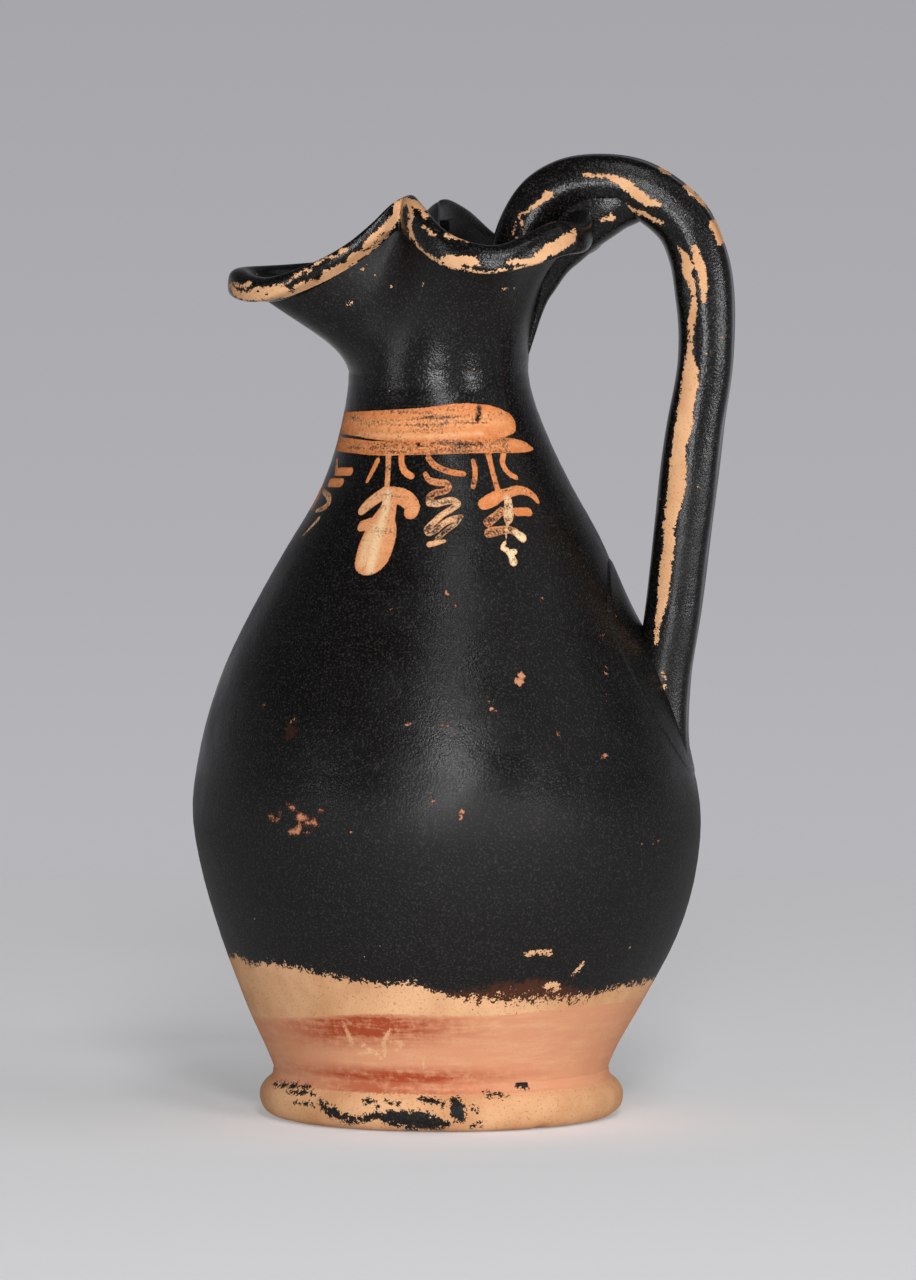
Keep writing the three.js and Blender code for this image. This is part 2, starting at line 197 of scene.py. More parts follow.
def make_world():
    world = bpy.data.worlds.new("studio")
    bpy.context.scene.world = world
    world.use_nodes = True
    tree = world.node_tree
    tree.nodes.clear()
    direction = node(tree, "ShaderNodeTexCoord", out=0)
    height = node(tree, "ShaderNodeSeparateXYZ", {0: direction}, out=2)
    tone = linear(WALL_FOOT)
    for start, end, colour in WALL_TONES:
        level = node(tree, "ShaderNodeMapRange", {0: height, 1: start, 2: end})
        tone = node(tree, "ShaderNodeMix", {0: level, 6: tone, 7: linear(colour)}, 2, data_type="RGBA")
    seen = node(tree, "ShaderNodeBackground", {"Color": tone, "Strength": 1.0})
    lit = node(tree, "ShaderNodeBackground", {"Color": linear("#ffffff"), "Strength": SOFT_FILL})
    mixed = node(tree, "ShaderNodeMixShader", {0: seen_directly(tree), 1: lit, 2: seen})
    node(tree, "ShaderNodeOutputWorld", {"Surface": mixed})


make_world()
print("tones of wall and ceiling:", 1 + len(WALL_TONES))

# %% [markdown]
# A black satin pot shows a lamp as a highlight, and little else. So the lamps are small soft boxes, and
# each stands where its highlight falls on the place that the photograph shows: the front box on the
# belly, the low box and the strips on the neck, the high box on the shoulder. One large box on the
# right lights the clay softly from the side.

# %% Soft lamps
LAMP_DISTANCE, LAMP_AIM = 1.5, 0.085  # metres from the jug, and above the table


def soft_lamp(name, turn, rise, width, height, watts):
    """A rectangular lamp that faces the jug. turn is counted from the camera to the right, in degrees."""
    data = bpy.data.lights.new(name, "AREA")
    data.shape = "RECTANGLE"
    data.size, data.size_y, data.energy = width, height, watts
    lamp = bpy.data.objects.new(name, data)
    bpy.context.scene.collection.objects.link(lamp)
    angle, up = CAMERA_TURN + math.radians(turn), math.radians(rise)
    back = (math.sin(angle) * math.cos(up), -math.cos(angle) * math.cos(up), math.sin(up))
    centre = (AXIS_X * MM, 0.0, LAMP_AIM)
    lamp.location = [c + b * LAMP_DISTANCE for c, b in zip(centre, back)]
    lamp.rotation_euler = (math.pi / 2 - up, 0.0, angle)


soft_lamp("front_box", 5, 24, 0.22, 0.26, 6.5)
soft_lamp("low_box", -3, 0, 0.18, 0.30, 9.5)
soft_lamp("high_box", 12, 51, 0.24, 0.24, 2.5)
soft_lamp("side_strip", 42, 0, 0.15, 0.28, 6.5)
soft_lamp("left_strip", -56, 0, 0.14, 0.26, 1.8)
soft_lamp("right_box", 70, 38, 1.20, 1.20, 2.8)

# %% [markdown]
# ## The shape, from a few measured sizes
# A thrown pot is a profile turned on the wheel. The profile is a handful of heights and radii with a
# smooth curve through them, the same ones that the construction model uses. The jug leans a little,
# so each ring also has its own small offset from the foot's axis.

# %% Profile of the thrown jug
FOOT_HEIGHT, FLOOR, WALL = 7.0, 4.5, 3.0
NECK_RADIUS, NECK_JOINT_Z, NECK_WAIST_Z = 15.3, 112.0, 127.5

PROFILE = [  # height and radius, mm
    (FOOT_HEIGHT, 28.2), (9.0, 28.9), (19.5, 34.0), (31.7, 39.4), (42.0, 42.3), (52.5, 43.4),
    (62.6, 41.8), (75.0, 37.8), (87.4, 32.1), (97.6, 27.1), (107.9, 21.3), (116.1, 17.9),
    (NECK_WAIST_Z, NECK_RADIUS), (130.0, NECK_RADIUS),
]
LEAN = [  # height and offset towards the handle, mm
    (0, 0.1), (10, 0.0), (34, 1.5), (57, 0.8), (84, -0.1), (104, 1.1), (NECK_WAIST_Z, -0.4), (170, -0.4),
]


def curve_through(points, period=0.0):
    """A smooth curve through (x, y) pairs, as a function of x. It repeats if a period is given."""
    pairs = np.array(list(points) + ([(points[0][0] + period, points[0][1])] if period else []), float)
    xs, ys = pairs[:, 0], pairs[:, 1]
    widths = np.diff(xs)
    chords = np.diff(ys) / widths
    before = np.r_[chords[-1] if period else chords[0], chords]
    after = np.r_[chords, chords[0] if period else chords[-1]]
    width_before = np.r_[widths[-1] if period else widths[0], widths]
    width_after = np.r_[widths, widths[0] if period else widths[-1]]
    slopes = (before * width_after + after * width_before) / (width_before + width_after)

    def value(x):
        x = np.asarray(x, float)
        x = xs[0] + np.mod(x - xs[0], period) if period else x
        i = np.clip(np.searchsorted(xs, x) - 1, 0, len(widths) - 1)
        t = np.clip((x - xs[i]) / widths[i], 0, 1)
        return ((2 * t**3 - 3 * t**2 + 1) * ys[i] + (t**3 - 2 * t**2 + t) * widths[i] * slopes[i]
                + (3 * t**2 - 2 * t**3) * ys[i + 1] + (t**3 - t**2) * widths[i] * slopes[i + 1])

    return value


outer_radius = curve_through(PROFILE)
lean_at = curve_through(LEAN)


def inner_radius(z):
    """Radius of the wall's inner face, with the wall's thickness square to its outer face."""
    slope = outer_radius(z + 0.5) - outer_radius(z - 0.5)
    return outer_radius(z) - WALL * np.hypot(1, slope)


print("belly radius, mm:", round(float(outer_radius(52.5)), 1))

# %% [markdown]
# The mouth starts as a round flare. While the clay is soft, two fingers pinch it on both sides, which
# leaves three lobes. Here each lobe is an ellipse seen from above, and the lip follows whichever lobe
# reaches furthest, with a small rounding in the folds. The lip rises at the folds and dips at the lobes.

# %% The pinched mouth
LOBES = [((-16.0, 0.6), (18.3, 13.6)), ((9.9, -8.2), (14.6, 14.4)), ((12.0, 8.6), (13.0, 13.6))]
NEAR_ROUNDING, FAR_ROUNDING, VALLEY_ROUNDING = 1.3, 3.0, 5.0  # of the folds at the lip, and below them
LIP_HALF_WIDTH = 2.25
SWEEP_LOW = {"height": (0.34, 0.34), "distance": (0.025, 0.08)}  # inner points of the mouth's curves,
SWEEP_HIGH = {"height": (0.64, 0.49), "distance": (0.125, 0.43)}  # as shares, at the handle and the spout
LIP_HEIGHTS = [  # direction in degrees (0 the handle, 90 the far side, 180 the spout) and height, mm
    (0, 153.2), (12, 152.8), (27, 150.3), (50, 147.2), (70, 146.9), (82, 151.4), (90, 153.0), (100, 152.8),
    (130, 144.8), (155, 143.0), (180, 142.8), (200, 142.1), (212, 144.7), (225, 148.8), (234, 152.3),
    (240, 154.5), (250, 154.8), (257, 154.3), (266, 152.6), (275, 150.0), (285, 148.5), (297, 148.0),
    (308, 149.5), (320, 151.2), (335, 151.3), (348, 152.8),
]
LIP_HALF_HEIGHTS = [  # the bead is deepest in the folds and beside the handle
    (0, 2.5), (60, 2.4), (90, 3.2), (125, 2.4), (190, 2.2), (235, 2.1), (252, 3.6), (268, 3.7), (285, 2.7),
    (300, 2.4), (315, 3.0), (335, 2.6),
]
lip_height = curve_through(LIP_HEIGHTS, 360)
lip_half_height = curve_through(LIP_HALF_HEIGHTS, 360)


def lobe_reach(lobe, angle):
    """Distance from the axis to a lobe's far edge, along a direction."""
    (cx, cy), (hx, hy) = lobe
    dx, dy = np.cos(angle) / hx, np.sin(angle) / hy
    a = dx**2 + dy**2
    b = -(cx / hx) * dx - (cy / hy) * dy
    root = b**2 - a * ((cx / hx)**2 + (cy / hy)**2 - 1)
    return np.where(root > 0, (-b + np.sqrt(np.maximum(root, 0))) / a, 0)


def lip_radius(angle, rise=1.0):
    """Distance from the axis to the lip. Below the lip, at a lower rise, the folds are softer."""
    pinch = NEAR_ROUNDING + (FAR_ROUNDING - NEAR_ROUNDING) * np.maximum(0, np.sin(angle))**2
    rounding = VALLEY_ROUNDING + (pinch - VALLEY_ROUNDING) * rise**2
    total = sum(np.exp(lobe_reach(lobe, angle) / rounding) for lobe in LOBES)
    return rounding * np.log(total)


def polar(radius, angle, z):
    """Points from distance, direction and height, as an array of x, y, z."""
    x, y, z = np.broadcast_arrays(radius * np.cos(angle), radius * np.sin(angle), z)
    return np.stack([x, y, z], -1)


def lip_point(angle, rise=1.0):
    return polar(lip_radius(angle, rise), angle, lip_height(np.degrees(angle)))


def between(pair, share):
    return pair[0] + (pair[1] - pair[0]) * share


def mouth_point(angle, rise):
    """The mouth's outer face, from the neck's waist (rise 0) to the lip (rise 1): one curve a direction."""
    spout = (1 - np.cos(angle)) / 2
    spread = lip_radius(angle, rise) - NECK_RADIUS
    climb = lip_height(np.degrees(angle)) - NECK_WAIST_Z
    start = polar(NECK_RADIUS + 0 * angle, angle, NECK_WAIST_Z)
    start[..., 0] += lean_at(NECK_WAIST_Z)
    inner = []
    for sweep in (SWEEP_LOW, SWEEP_HIGH):
        outwards = between(sweep["distance"], spout) * spread
        upwards = between(sweep["height"], spout) * climb
        inner.append(start + polar(outwards, angle, upwards))
    low, high = inner
    return ((1 - rise)**3 * start + 3 * (1 - rise)**2 * rise * low
            + 3 * (1 - rise) * rise**2 * high + rise**3 * lip_point(angle, rise))


print("spout reaches, mm:", round(float(lip_radius(np.array(math.pi))) + LIP_HALF_WIDTH, 1))

# %% [markdown]
# ## Skins
# Every clay piece here is a skin: rings of points, one above another, joined by faces. It is the same
# way in which a potter reads a pot, ring by ring. A Screw modifier would turn a profile too, but then no
# ring could lean, ripple or be pinched. With rings from numpy each point is free, and tens of thousands
# of them take a moment. The end rings are closed by a fan to a middle point, so each skin is a solid.

# %% From rings of points to a mesh
def skin(name, rings, closed=False):
    """A smooth mesh from rings (rows, columns, xyz) in mm. closed joins the last ring to the first."""
    rows, columns = rings.shape[:2]
    points = rings.reshape(-1, 3)
    joins = rows if closed else rows - 1
    i, j = np.meshgrid(np.arange(joins), np.arange(columns), indexing="ij")
    here, beside = i * columns + j, i * columns + (j + 1) % columns
    up = ((i + 1) % rows) * columns
    quads = np.stack([here, beside, up + (j + 1) % columns, up + j], -1).reshape(-1, 4)
    fans = np.zeros((0, 3), int)
    if not closed:
        k, first, last = np.arange(columns), len(points), len(points) + 1
        points = np.concatenate([points, rings[[0, -1]].mean(1)])
        low = np.stack([np.full(columns, first), (k + 1) % columns, k], -1)
        top = (rows - 1) * columns
        high = np.stack([np.full(columns, last), top + k, top + (k + 1) % columns], -1)
        fans = np.concatenate([low, high])
    mesh = bpy.data.meshes.new(name)
    mesh.vertices.add(len(points))
    mesh.vertices.foreach_set("co", to_metres(points).astype(np.float32).ravel())
    mesh.loops.add(quads.size + fans.size)
    mesh.loops.foreach_set("vertex_index", np.r_[quads.ravel(), fans.ravel()].astype(np.int32))
    mesh.polygons.add(len(quads) + len(fans))
    starts = np.r_[np.arange(len(quads)) * 4, quads.size + np.arange(len(fans)) * 3]
    mesh.polygons.foreach_set("loop_start", starts.astype(np.int32))
    mesh.update(calc_edges=True)
    mesh.shade_smooth()
    mesh.set_sharp_from_angle(angle=math.radians(50))
    piece = bpy.data.objects.new(name, mesh)
    bpy.context.scene.collection.objects.link(piece)
    print(name, "faces:", len(mesh.polygons))
    return piece


def mesh_points(piece):
    """The piece's vertices in mm round the jug's axis."""
    flat = np.empty(len(piece.data.vertices) * 3, np.float32)
    piece.data.vertices.foreach_get("co", flat)
    points = flat.reshape(-1, 3).astype(float) / MM
    points[:, 0] -= AXIS_X
    return points


def wobble(size, seed, *places):
    """Slow unevenness of hand work: a few waves of random direction and phase over the places."""
    random = np.random.default_rng(seed)
    total = 0
    for _ in range(6):
        total = total + np.sin(sum(random.normal() * place for place in places) + random.uniform(0, 6.3))
    return size * total / 3


# %% [markdown]
# ## Marks
# What makes this old jug itself is its marks: painted leaves, flaked slip, worn ridges. They are drawn
# here as strokes on a sheet held upright through the jug's axis, in millimetres right of the axis and
# above the floor, as the camera sees them. A painted picture would need a texture file and a size in
# pixels. Instead each mesh point stores how deep inside a stroke it lies, and the shader cuts that
# depth at zero, so an edge stays crisp however large the picture is.

# %% The sheet through the jug's axis
EYE_DISTANCE = math.hypot(EYE[0], EYE[1])
TOWARDS_EYE = np.array([math.sin(CAMERA_TURN), -math.cos(CAMERA_TURN), 0.0])
print("eye height on the sheet, mm:", round(EYE[2]))


def on_sheet(points):
    """Where points appear on the sheet. The far half is folded over, as if seen from behind in a mirror."""
    seen = points.copy()
    seen[:, 1] = -np.abs(seen[:, 1])
    nearer = EYE_DISTANCE / (EYE_DISTANCE - seen @ TOWARDS_EYE)
    x = AIM_RIGHT + (seen @ RIGHT - AIM_RIGHT) * nearer
    z = EYE[2] + (seen[:, 2] - EYE[2]) * nearer
    return np.stack([x, z], -1)


def onto_wall(sheet_points):
    """The reverse for the thrown wall: direction and height of what the sheet shows, near side."""
    x, z = np.array(sheet_points, float).T
    height = z.copy()
    for _ in range(8):
        radius = outer_radius(height)
        middle = lean_at(height) * math.cos(CAMERA_TURN)
        depth = np.sqrt(np.maximum(radius**2 - (x - middle)**2, 0))
        height = z + (EYE[2] - z) * depth / EYE_DISTANCE
    sideways = (x - (x - AIM_RIGHT) * depth / EYE_DISTANCE - middle) / outer_radius(height)
    return np.stack([CAMERA_TURN - np.arccos(np.clip(sideways, -1, 1)), height], -1)


# %% [markdown]
# A brush stroke is a line whose width changes as the hand presses and lifts. So a stroke here is a few
# points, each with its half width. Wear and flakes are drawn in the same way, because rubbing also
# leaves long soft shapes, and the noise in the shader tears their edges later.

# %% Strokes
def stroke(*triples, cream=0.0, worn=0.0):
    """A line of the brush, or of wear, in mm: (x, z, half width) triples with a smooth curve through them."""
    knots = np.array(triples, float)
    gone = np.r_[0, np.cumsum(np.linalg.norm(np.diff(knots[:, :2], axis=0), axis=1) + 1e-3)]
    fine = np.unique(np.r_[gone, np.arange(0, gone[-1], 0.5)])
    x, z, half = [curve_through(list(zip(gone, knots[:, k])))(fine) for k in range(3)]
    return {"points": np.stack([x, z], -1), "half": half, "cream": cream, "worn": worn}


def stroke_depth(places, mark):
    """How far inside a stroke each place lies, in mm."""
    points, half = mark["points"], mark["half"]
    depth = np.full(len(places), -9.0)
    margin = half.max() + 3
    near = np.all((places > points.min(0) - margin) & (places < points.max(0) + margin), axis=1)
    here = places[near]
    best = depth[near]
    for a, b, wide_a, wide_b in zip(points[:-1], points[1:], half[:-1], half[1:]):
        along = b - a
        t = np.clip((here - a) @ along / max(along @ along, 1e-9), 0, 1)
        gap = np.linalg.norm(here - a - t[:, None] * along, axis=1)
        best = np.maximum(best, wide_a + (wide_b - wide_a) * t - gap)
    depth[near] = best
    return depth


def deepest(places, marks):
    """The depth in the deepest stroke at each place."""
    return np.max([stroke_depth(places, mark) for mark in marks], axis=0)


MARKS = {  # each mark that a mesh point can hold, with its value where nothing was drawn
    "slip": 6.0,  # depth in the black slip, mm
    "paint": -3.0,  # depth in a painted stroke, mm
    "cream": 0.0,  # share of cream in the paint
    "worn": 0.0,  # how far the paint is rubbed
    "wash": -3.0,  # depth in the pink wash, mm
    "red": 0.0,  # how strongly the wash pooled
    "thin": 0.0,  # how thinly the slip was brushed
    "dull": 0.0,  # how far the slip has lost its gloss
}
MARK_RANGE = (-30, 9)  # further out or in, a depth makes no difference


def store(piece, **values):
    """Keeps the marks on the mesh's points for the shader to read."""
    for name, value in {**MARKS, **values}.items():
        full = np.broadcast_to(np.asarray(value, np.float32), len(piece.data.vertices))
        layer = piece.data.attributes.new(name, "FLOAT", "POINT")
        layer.data.foreach_set("value", np.ascontiguousarray(np.clip(full, *MARK_RANGE)))


print("marks on every mesh:", list(MARKS))

# %% [markdown]
# ## The painted pattern
# Below the mouth runs an orange band with a leaf garland hanging from it: a Greek potter's standard
# ornament for a small jug. The painter worked fast with a loaded brush, so strokes swell and thin. The
# near half follows the photographed side, and the far half repeats it in mirror image.

# %% Brush strokes, right of the axis and above the floor in mm
BANDS = [
    stroke((11.3, 118.7, 1.9), (10.0, 118.8, 2.45), (6.1, 119.0, 2.95), (-2.9, 118.4, 2.84),
           (-9.0, 118.3, 2.6), (-16.0, 118.7, 1.9), worn=0.04),
    stroke((15.6, 114.3, 0.25), (14.6, 114.6, 0.8), (13.0, 114.8, 1.15), (7.4, 114.8, 1.2),
           (-3.9, 114.4, 1.12), (-11.5, 114.4, 1.18), (-16.5, 115.0, 1.2), worn=0.08),
]
FRESH_ENDS = [  # the ends of the bands, where the loaded brush came down
    stroke((7.8, 119.2, 2.2), (10.4, 118.7, 2.0), worn=-0.12),
    stroke((12.4, 114.8, 1.1), (14.6, 114.6, 0.8), worn=-0.10),
    stroke((-14.0, 116.8, 0.35), (-3.0, 116.3, 0.4), (7.0, 116.9, 0.4), cream=0.25, worn=-0.08),
]
GARLAND = [
    stroke((-10.8, 112.3, 0.5), (-11.8, 110.3, 0.45), (-12.6, 108.7, 0.32)),
    stroke((-9.0, 113.2, 0.57), (-9.05, 110.8, 0.5), (-9.2, 108.2, 0.48), cream=0.15, worn=0.04),
    stroke((-6.8, 113.0, 0.55), (-6.7, 111.5, 0.55), (-6.2, 110.4, 0.6), (-5.1, 109.6, 0.55)),
    stroke((-2.2, 112.7, 0.5), (-1.15, 111.5, 0.56), (0.45, 110.7, 0.5), (2.4, 110.15, 0.5),
           (3.9, 110.0, 0.42), worn=0.10),
    stroke((-2.7, 110.0, 0.4), (-2.2, 109.1, 0.5), (-0.5, 108.5, 0.58), (1.1, 108.3, 0.5),
           (1.4, 107.8, 0.5), (0.8, 107.1, 0.5), (-1.0, 106.7, 0.55), (-1.95, 106.0, 0.6),
           (-1.95, 105.0, 0.6), cream=0.1, worn=0.13),
    stroke((-1.95, 105.2, 0.6), (-1.0, 104.9, 0.6), (0.8, 105.3, 0.6), (2.2, 105.4, 0.55),
           (2.95, 104.9, 0.5), (2.0, 104.1, 0.5), (0.25, 103.05, 0.5), (-1.3, 101.65, 0.52),
           (-2.4, 100.6, 0.55), cream=0.55, worn=0.10),
    stroke((-2.4, 100.6, 0.55), (-2.2, 99.9, 0.5), (-1.15, 100.2, 0.5), (0.6, 101.6, 0.5),
           (2.2, 102.35, 0.5), (3.5, 102.7, 0.35), cream=0.5, worn=0.14),
    stroke((3.3, 102.3, 0.3), (2.7, 101.6, 0.35), (1.1, 100.4, 0.4), (-0.6, 99.0, 0.4), cream=0.75,
           worn=0.25),
    stroke((-2.0, 97.9, 0.5), (-1.0, 98.1, 0.42), (0.6, 98.5, 0.3), cream=0.45, worn=0.05),
    stroke((5.5, 112.2, 0.4), (5.8, 110.9, 0.48), (5.8, 109.3, 0.42), (5.5, 107.8, 0.4), worn=0.10),
    stroke((8.0, 113.9, 0.65), (8.5, 111.8, 0.5), (9.0, 109.7, 0.46), (9.7, 107.3, 0.46), worn=0.05),
    stroke((10.7, 113.4, 0.55), (10.5, 112.0, 0.5), (11.1, 110.7, 0.5), (12.0, 109.8, 0.5),
           (12.8, 109.4, 0.45)),
]
SIDE_TENDRIL = [
    stroke((-17.5, 110.4, 0.7), (-15.4, 110.4, 0.7)),
    stroke((-17.7, 112.4, 0.35), (-17.8, 110.2, 0.5), cream=0.2, worn=0.1),
    stroke((-18.9, 108.5, 0.75), (-17.0, 108.5, 0.75)),
    stroke((-20.0, 107.1, 0.4), (-19.1, 106.0, 0.6), (-19.1, 105.0, 0.6), (-20.2, 104.1, 0.55),
           (-21.3, 103.7, 0.3), cream=0.5, worn=0.12),
    stroke((-20.9, 102.3, 0.45), (-22.1, 101.0, 0.4), (-23.6, 99.4, 0.15), cream=0.8, worn=0.1),
]
BROAD_LEAF = [
    stroke((-9.1, 106.7, 1.0), (-8.9, 105.0, 1.45), (-9.35, 103.2, 1.87), (-10.0, 101.8, 2.3),
           (-10.5, 99.6, 2.97), (-11.2, 97.5, 3.07), (-11.7, 95.9, 2.83), (-12.0, 95.3, 2.6), cream=0.15,
           worn=-0.16),
    stroke((-9.3, 107.0, 1.0), (-11.2, 105.7, 1.05), (-12.8, 104.4, 0.95), (-13.4, 103.8, 0.85), cream=0.3,
           worn=-0.08),
    stroke((-13.4, 101.1, 0.96), (-12.0, 101.5, 1.0), cream=0.15, worn=-0.16),
    stroke((-8.4, 106.6, 1.2), (-6.7, 106.1, 1.4), (-5.4, 105.2, 1.35), (-4.9, 104.3, 1.3),
           (-5.1, 103.5, 1.2), cream=0.1, worn=-0.08),
    stroke((-9.0, 106.6, 0.7), (-9.9, 102.4, 0.8), (-11.2, 97.9, 0.85), (-12.1, 93.4, 0.7), cream=0.65,
           worn=-0.16),
    stroke((-11.4, 101.0, 0.6), (-12.9, 97.6, 0.8), (-13.4, 94.8, 0.7), cream=0.5, worn=-0.16),
]
SMALL_LEAF = [
    stroke((7.3, 104.8, 0.95), (8.65, 105.5, 1.1), (10.0, 106.3, 0.95), (11.4, 106.7, 0.8),
           (13.2, 107.2, 0.78), (14.8, 106.9, 0.7), (16.0, 106.0, 0.62), (16.5, 105.3, 0.45)),
    stroke((11.45, 105.6, 0.75), (11.6, 103.9, 0.85), (11.5, 102.5, 0.85), (11.4, 101.4, 0.3), cream=0.65,
           worn=0.1),
    stroke((13.0, 103.5, 0.7), (15.0, 103.5, 0.72)),
    stroke((10.4, 103.7, 0.6), (9.35, 102.7, 0.7), (7.95, 101.65, 0.72), cream=0.15, worn=0.14),
    stroke((8.1, 99.8, 0.72), (9.0, 100.1, 0.8), (10.2, 100.3, 0.7), (11.8, 100.4, 0.62),
           (12.8, 100.0, 0.7), cream=0.2, worn=0.13),
    stroke((12.9, 99.8, 0.6), (13.9, 99.1, 0.85), cream=0.95),
    stroke((11.3, 100.9, 0.14), (11.1, 98.6, 0.14), cream=1.0),
    stroke((10.9, 98.2, 0.3), (10.5, 97.3, 0.4), (11.3, 96.9, 0.5), (12.0, 96.0, 0.6), (12.4, 94.9, 0.72),
           cream=1.0),
    stroke((11.8, 96.6, 0.45), (12.7, 96.7, 0.45), cream=1.0),
]
RUBBED_STREAKS = [  # where the paint is rubbed thin along the bands
    stroke((-6.0, 119.3, 0.2), (-1.0, 119.6, 0.3), (5.0, 119.9, 0.2), worn=0.15),
    stroke((-5.5, 118.3, 0.2), (1.0, 118.5, 0.25), worn=0.12),
    stroke((6.6, 121.6, 0.4), (6.5, 120.4, 0.5), (6.2, 119.2, 0.35), worn=0.24),
    stroke((-1.5, 115.2, 0.2), (2.5, 115.0, 0.35), (6.8, 115.2, 0.3), worn=0.18),
    stroke((-4.0, 115.1, 0.2), (-3.9, 115.0, 0.25), worn=0.35),
]
SPOUT_TURN = -math.pi  # the broad leaf is repeated under the spout


def on_wall(marks):
    return [{**mark, "points": onto_wall(mark["points"])} for mark in marks]


def mirrored(marks):
    return [{**mark, "points": mark["points"] * (-1, 1)} for mark in marks]


def wall_pattern():
    """All strokes in direction and height: the near half, its mirror image and the leaf under the spout."""
    bands = []
    for mark in on_wall(BANDS):
        back = mark["points"][::-1] * (-1, 1) - (2 * math.pi, 0.0)
        bands.append({**mark, "points": np.concatenate([mark["points"], back]),
                      "half": np.r_[mark["half"], mark["half"][::-1]]})
    side = on_wall(FRESH_ENDS + GARLAND + SIDE_TENDRIL + BROAD_LEAF + SMALL_LEAF)
    leaf = on_wall(BROAD_LEAF)
    shift = SPOUT_TURN - leaf[0]["points"][:, 0].mean()
    spout = [{**mark, "points": mark["points"] + (shift, 0.0)} for mark in leaf]
    return bands + side + mirrored(side) + spout


WALL_PATTERN = wall_pattern()
RUBBED = on_wall(RUBBED_STREAKS)
RUBBED = RUBBED + mirrored(RUBBED)
print("brush strokes:", len(WALL_PATTERN))


def depth_on_wall(angle, height, mark):
    """How far inside a stroke on the wall each place lies, measured along the wall in mm."""
    middle = mark["points"].mean(0)
    radius = float(outer_radius(middle[1]))
    turned = (angle - middle[0] + math.pi) % (2 * math.pi) - math.pi
    flat = (mark["points"] - (middle[0], 0)) * (radius, 1)
    return stroke_depth(np.stack([radius * turned, height], -1), {**mark, "points": flat})


def paint_on_wall(angle, height):
    """Depth in the paint, cream share and wear share at each place. Later strokes lie on earlier ones."""
    depth, cream, worn = np.full(len(angle), -9.0), np.zeros(len(angle)), np.zeros(len(angle))
    for mark in WALL_PATTERN:
        own = depth_on_wall(angle, height, mark)
        blend = np.clip(0.4 + own / 0.6, 0, 1)
        cream = cream + blend * (mark["cream"] - cream)
        worn = worn + blend * (mark["worn"] - worn)
        depth = np.maximum(depth, own)
    for mark in RUBBED:
        worn = np.maximum(worn, mark["worn"] * np.clip(0.5 + depth_on_wall(angle, height, mark) / 0.6, 0, 1))
    return depth, cream, worn


# %% [markdown]
# ## The finish: slip-coated earthenware
# The body is iron-rich earthenware, which fires orange and stays slightly porous, so bare clay scatters
# light softly. The black is a slip of the same clay, refined until it sinters into a thin, hard, satin
# skin. It is not a glass glaze: it shows every ripple of the wall and flakes off at edges. Over it
# the painter laid an orange and a cream clay wash, which are matt. One material holds all the layers,
# because on the real jug they lie on one another everywhere: only the marks say which one shows.
#
# The larger flakes are strokes on the mesh, but a chip may be smaller than the mesh's faces. So the
# chips are listed here, and the shader measures the distance to each of them.

# %% Small chips of the slip: right of the axis, above the floor and radius, in mm
CHIPS = [
    (0.9, 89.6, 0.32), (2.5, 87.4, 0.36), (3.2, 83.0, 0.16), (17.3, 88.7, 0.28), (13.7, 75.3, 0.70),
    (13.5, 74.3, 0.75), (8.1, 70.8, 0.20), (8.7, 69.6, 0.30), (9.4, 69.2, 0.20), (-5.7, 66.9, 0.30),
    (0.5, 66.8, 0.30), (1.0, 66.6, 0.25), (28.3, 76.7, 0.22), (28.3, 75.9, 0.32), (29.7, 85.5, 0.20),
    (28.0, 61.5, 0.40), (27.3, 61.4, 0.20), (-1.6, 54.6, 0.25), (-1.5, 53.9, 0.30), (3.6, 51.9, 0.40),
    (3.5, 50.9, 0.40), (16.6, 48.8, 0.18), (28.3, 71.1, 0.16), (16.4, 76.8, 0.16), (-30.3, 70.4, 0.20),
    (-25.7, 67.6, 0.35), (-25.1, 68.0, 0.25), (-15.3, 48.6, 0.22), (37.2, 47.0, 0.25), (36.2, 46.5, 0.18),
    (34.3, 46.5, 0.22), (32.4, 28.7, 0.22), (-39.5, 37.8, 0.20), (-8.6, 86.7, 0.20), (11.0, 81.9, 0.12),
]
FAR_CHIPS = 18
FAR_SIDE, CHIPPED_HEIGHTS, FAR_SIZES = (0.4, 2.8), (30, 105), (0.2, 0.5)  # radians, mm and mm


def chip_places():
    """Points on the wall and radii in mm: the listed chips, and scattered ones on the far side."""
    found = onto_wall([(x, z) for x, z, _ in CHIPS])
    sizes = [size for _, _, size in CHIPS]
    random = np.random.default_rng(14)
    far = np.stack([random.uniform(*FAR_SIDE, FAR_CHIPS), random.uniform(*CHIPPED_HEIGHTS, FAR_CHIPS)], -1)
    sizes = sizes + list(random.uniform(*FAR_SIZES, FAR_CHIPS))
    angle, height = np.concatenate([found, far]).T
    points = polar(outer_radius(height), angle, height)
    points[:, 0] += lean_at(height)
    return to_metres(points) / MM, sizes


print("chips in all:", len(CHIPS) + FAR_CHIPS)

# %% [markdown]
# A texture's scale is worked out from a real size. The position is turned into millimetres first, so
# the scale of a noise is one over the size of what it draws. The grains of the clay's temper are about
# 0.1 mm, too fine to show in the picture, so they are drawn at 0.36 mm. Wheel and brush leave lines
# round the wall: the same noise, with the two level directions stretched.

# %% Textures of clay and slip
CLOUD, FLAKE, GRAIN, LINE = 9.0, 1.2, 0.36, 1.0  # mm
ROUND_THE_WALL = (0.14, 0.14, 1.0)


def read_marks(tree):
    return {name: node(tree, "ShaderNodeAttribute", out=2, attribute_name=name) for name in MARKS}


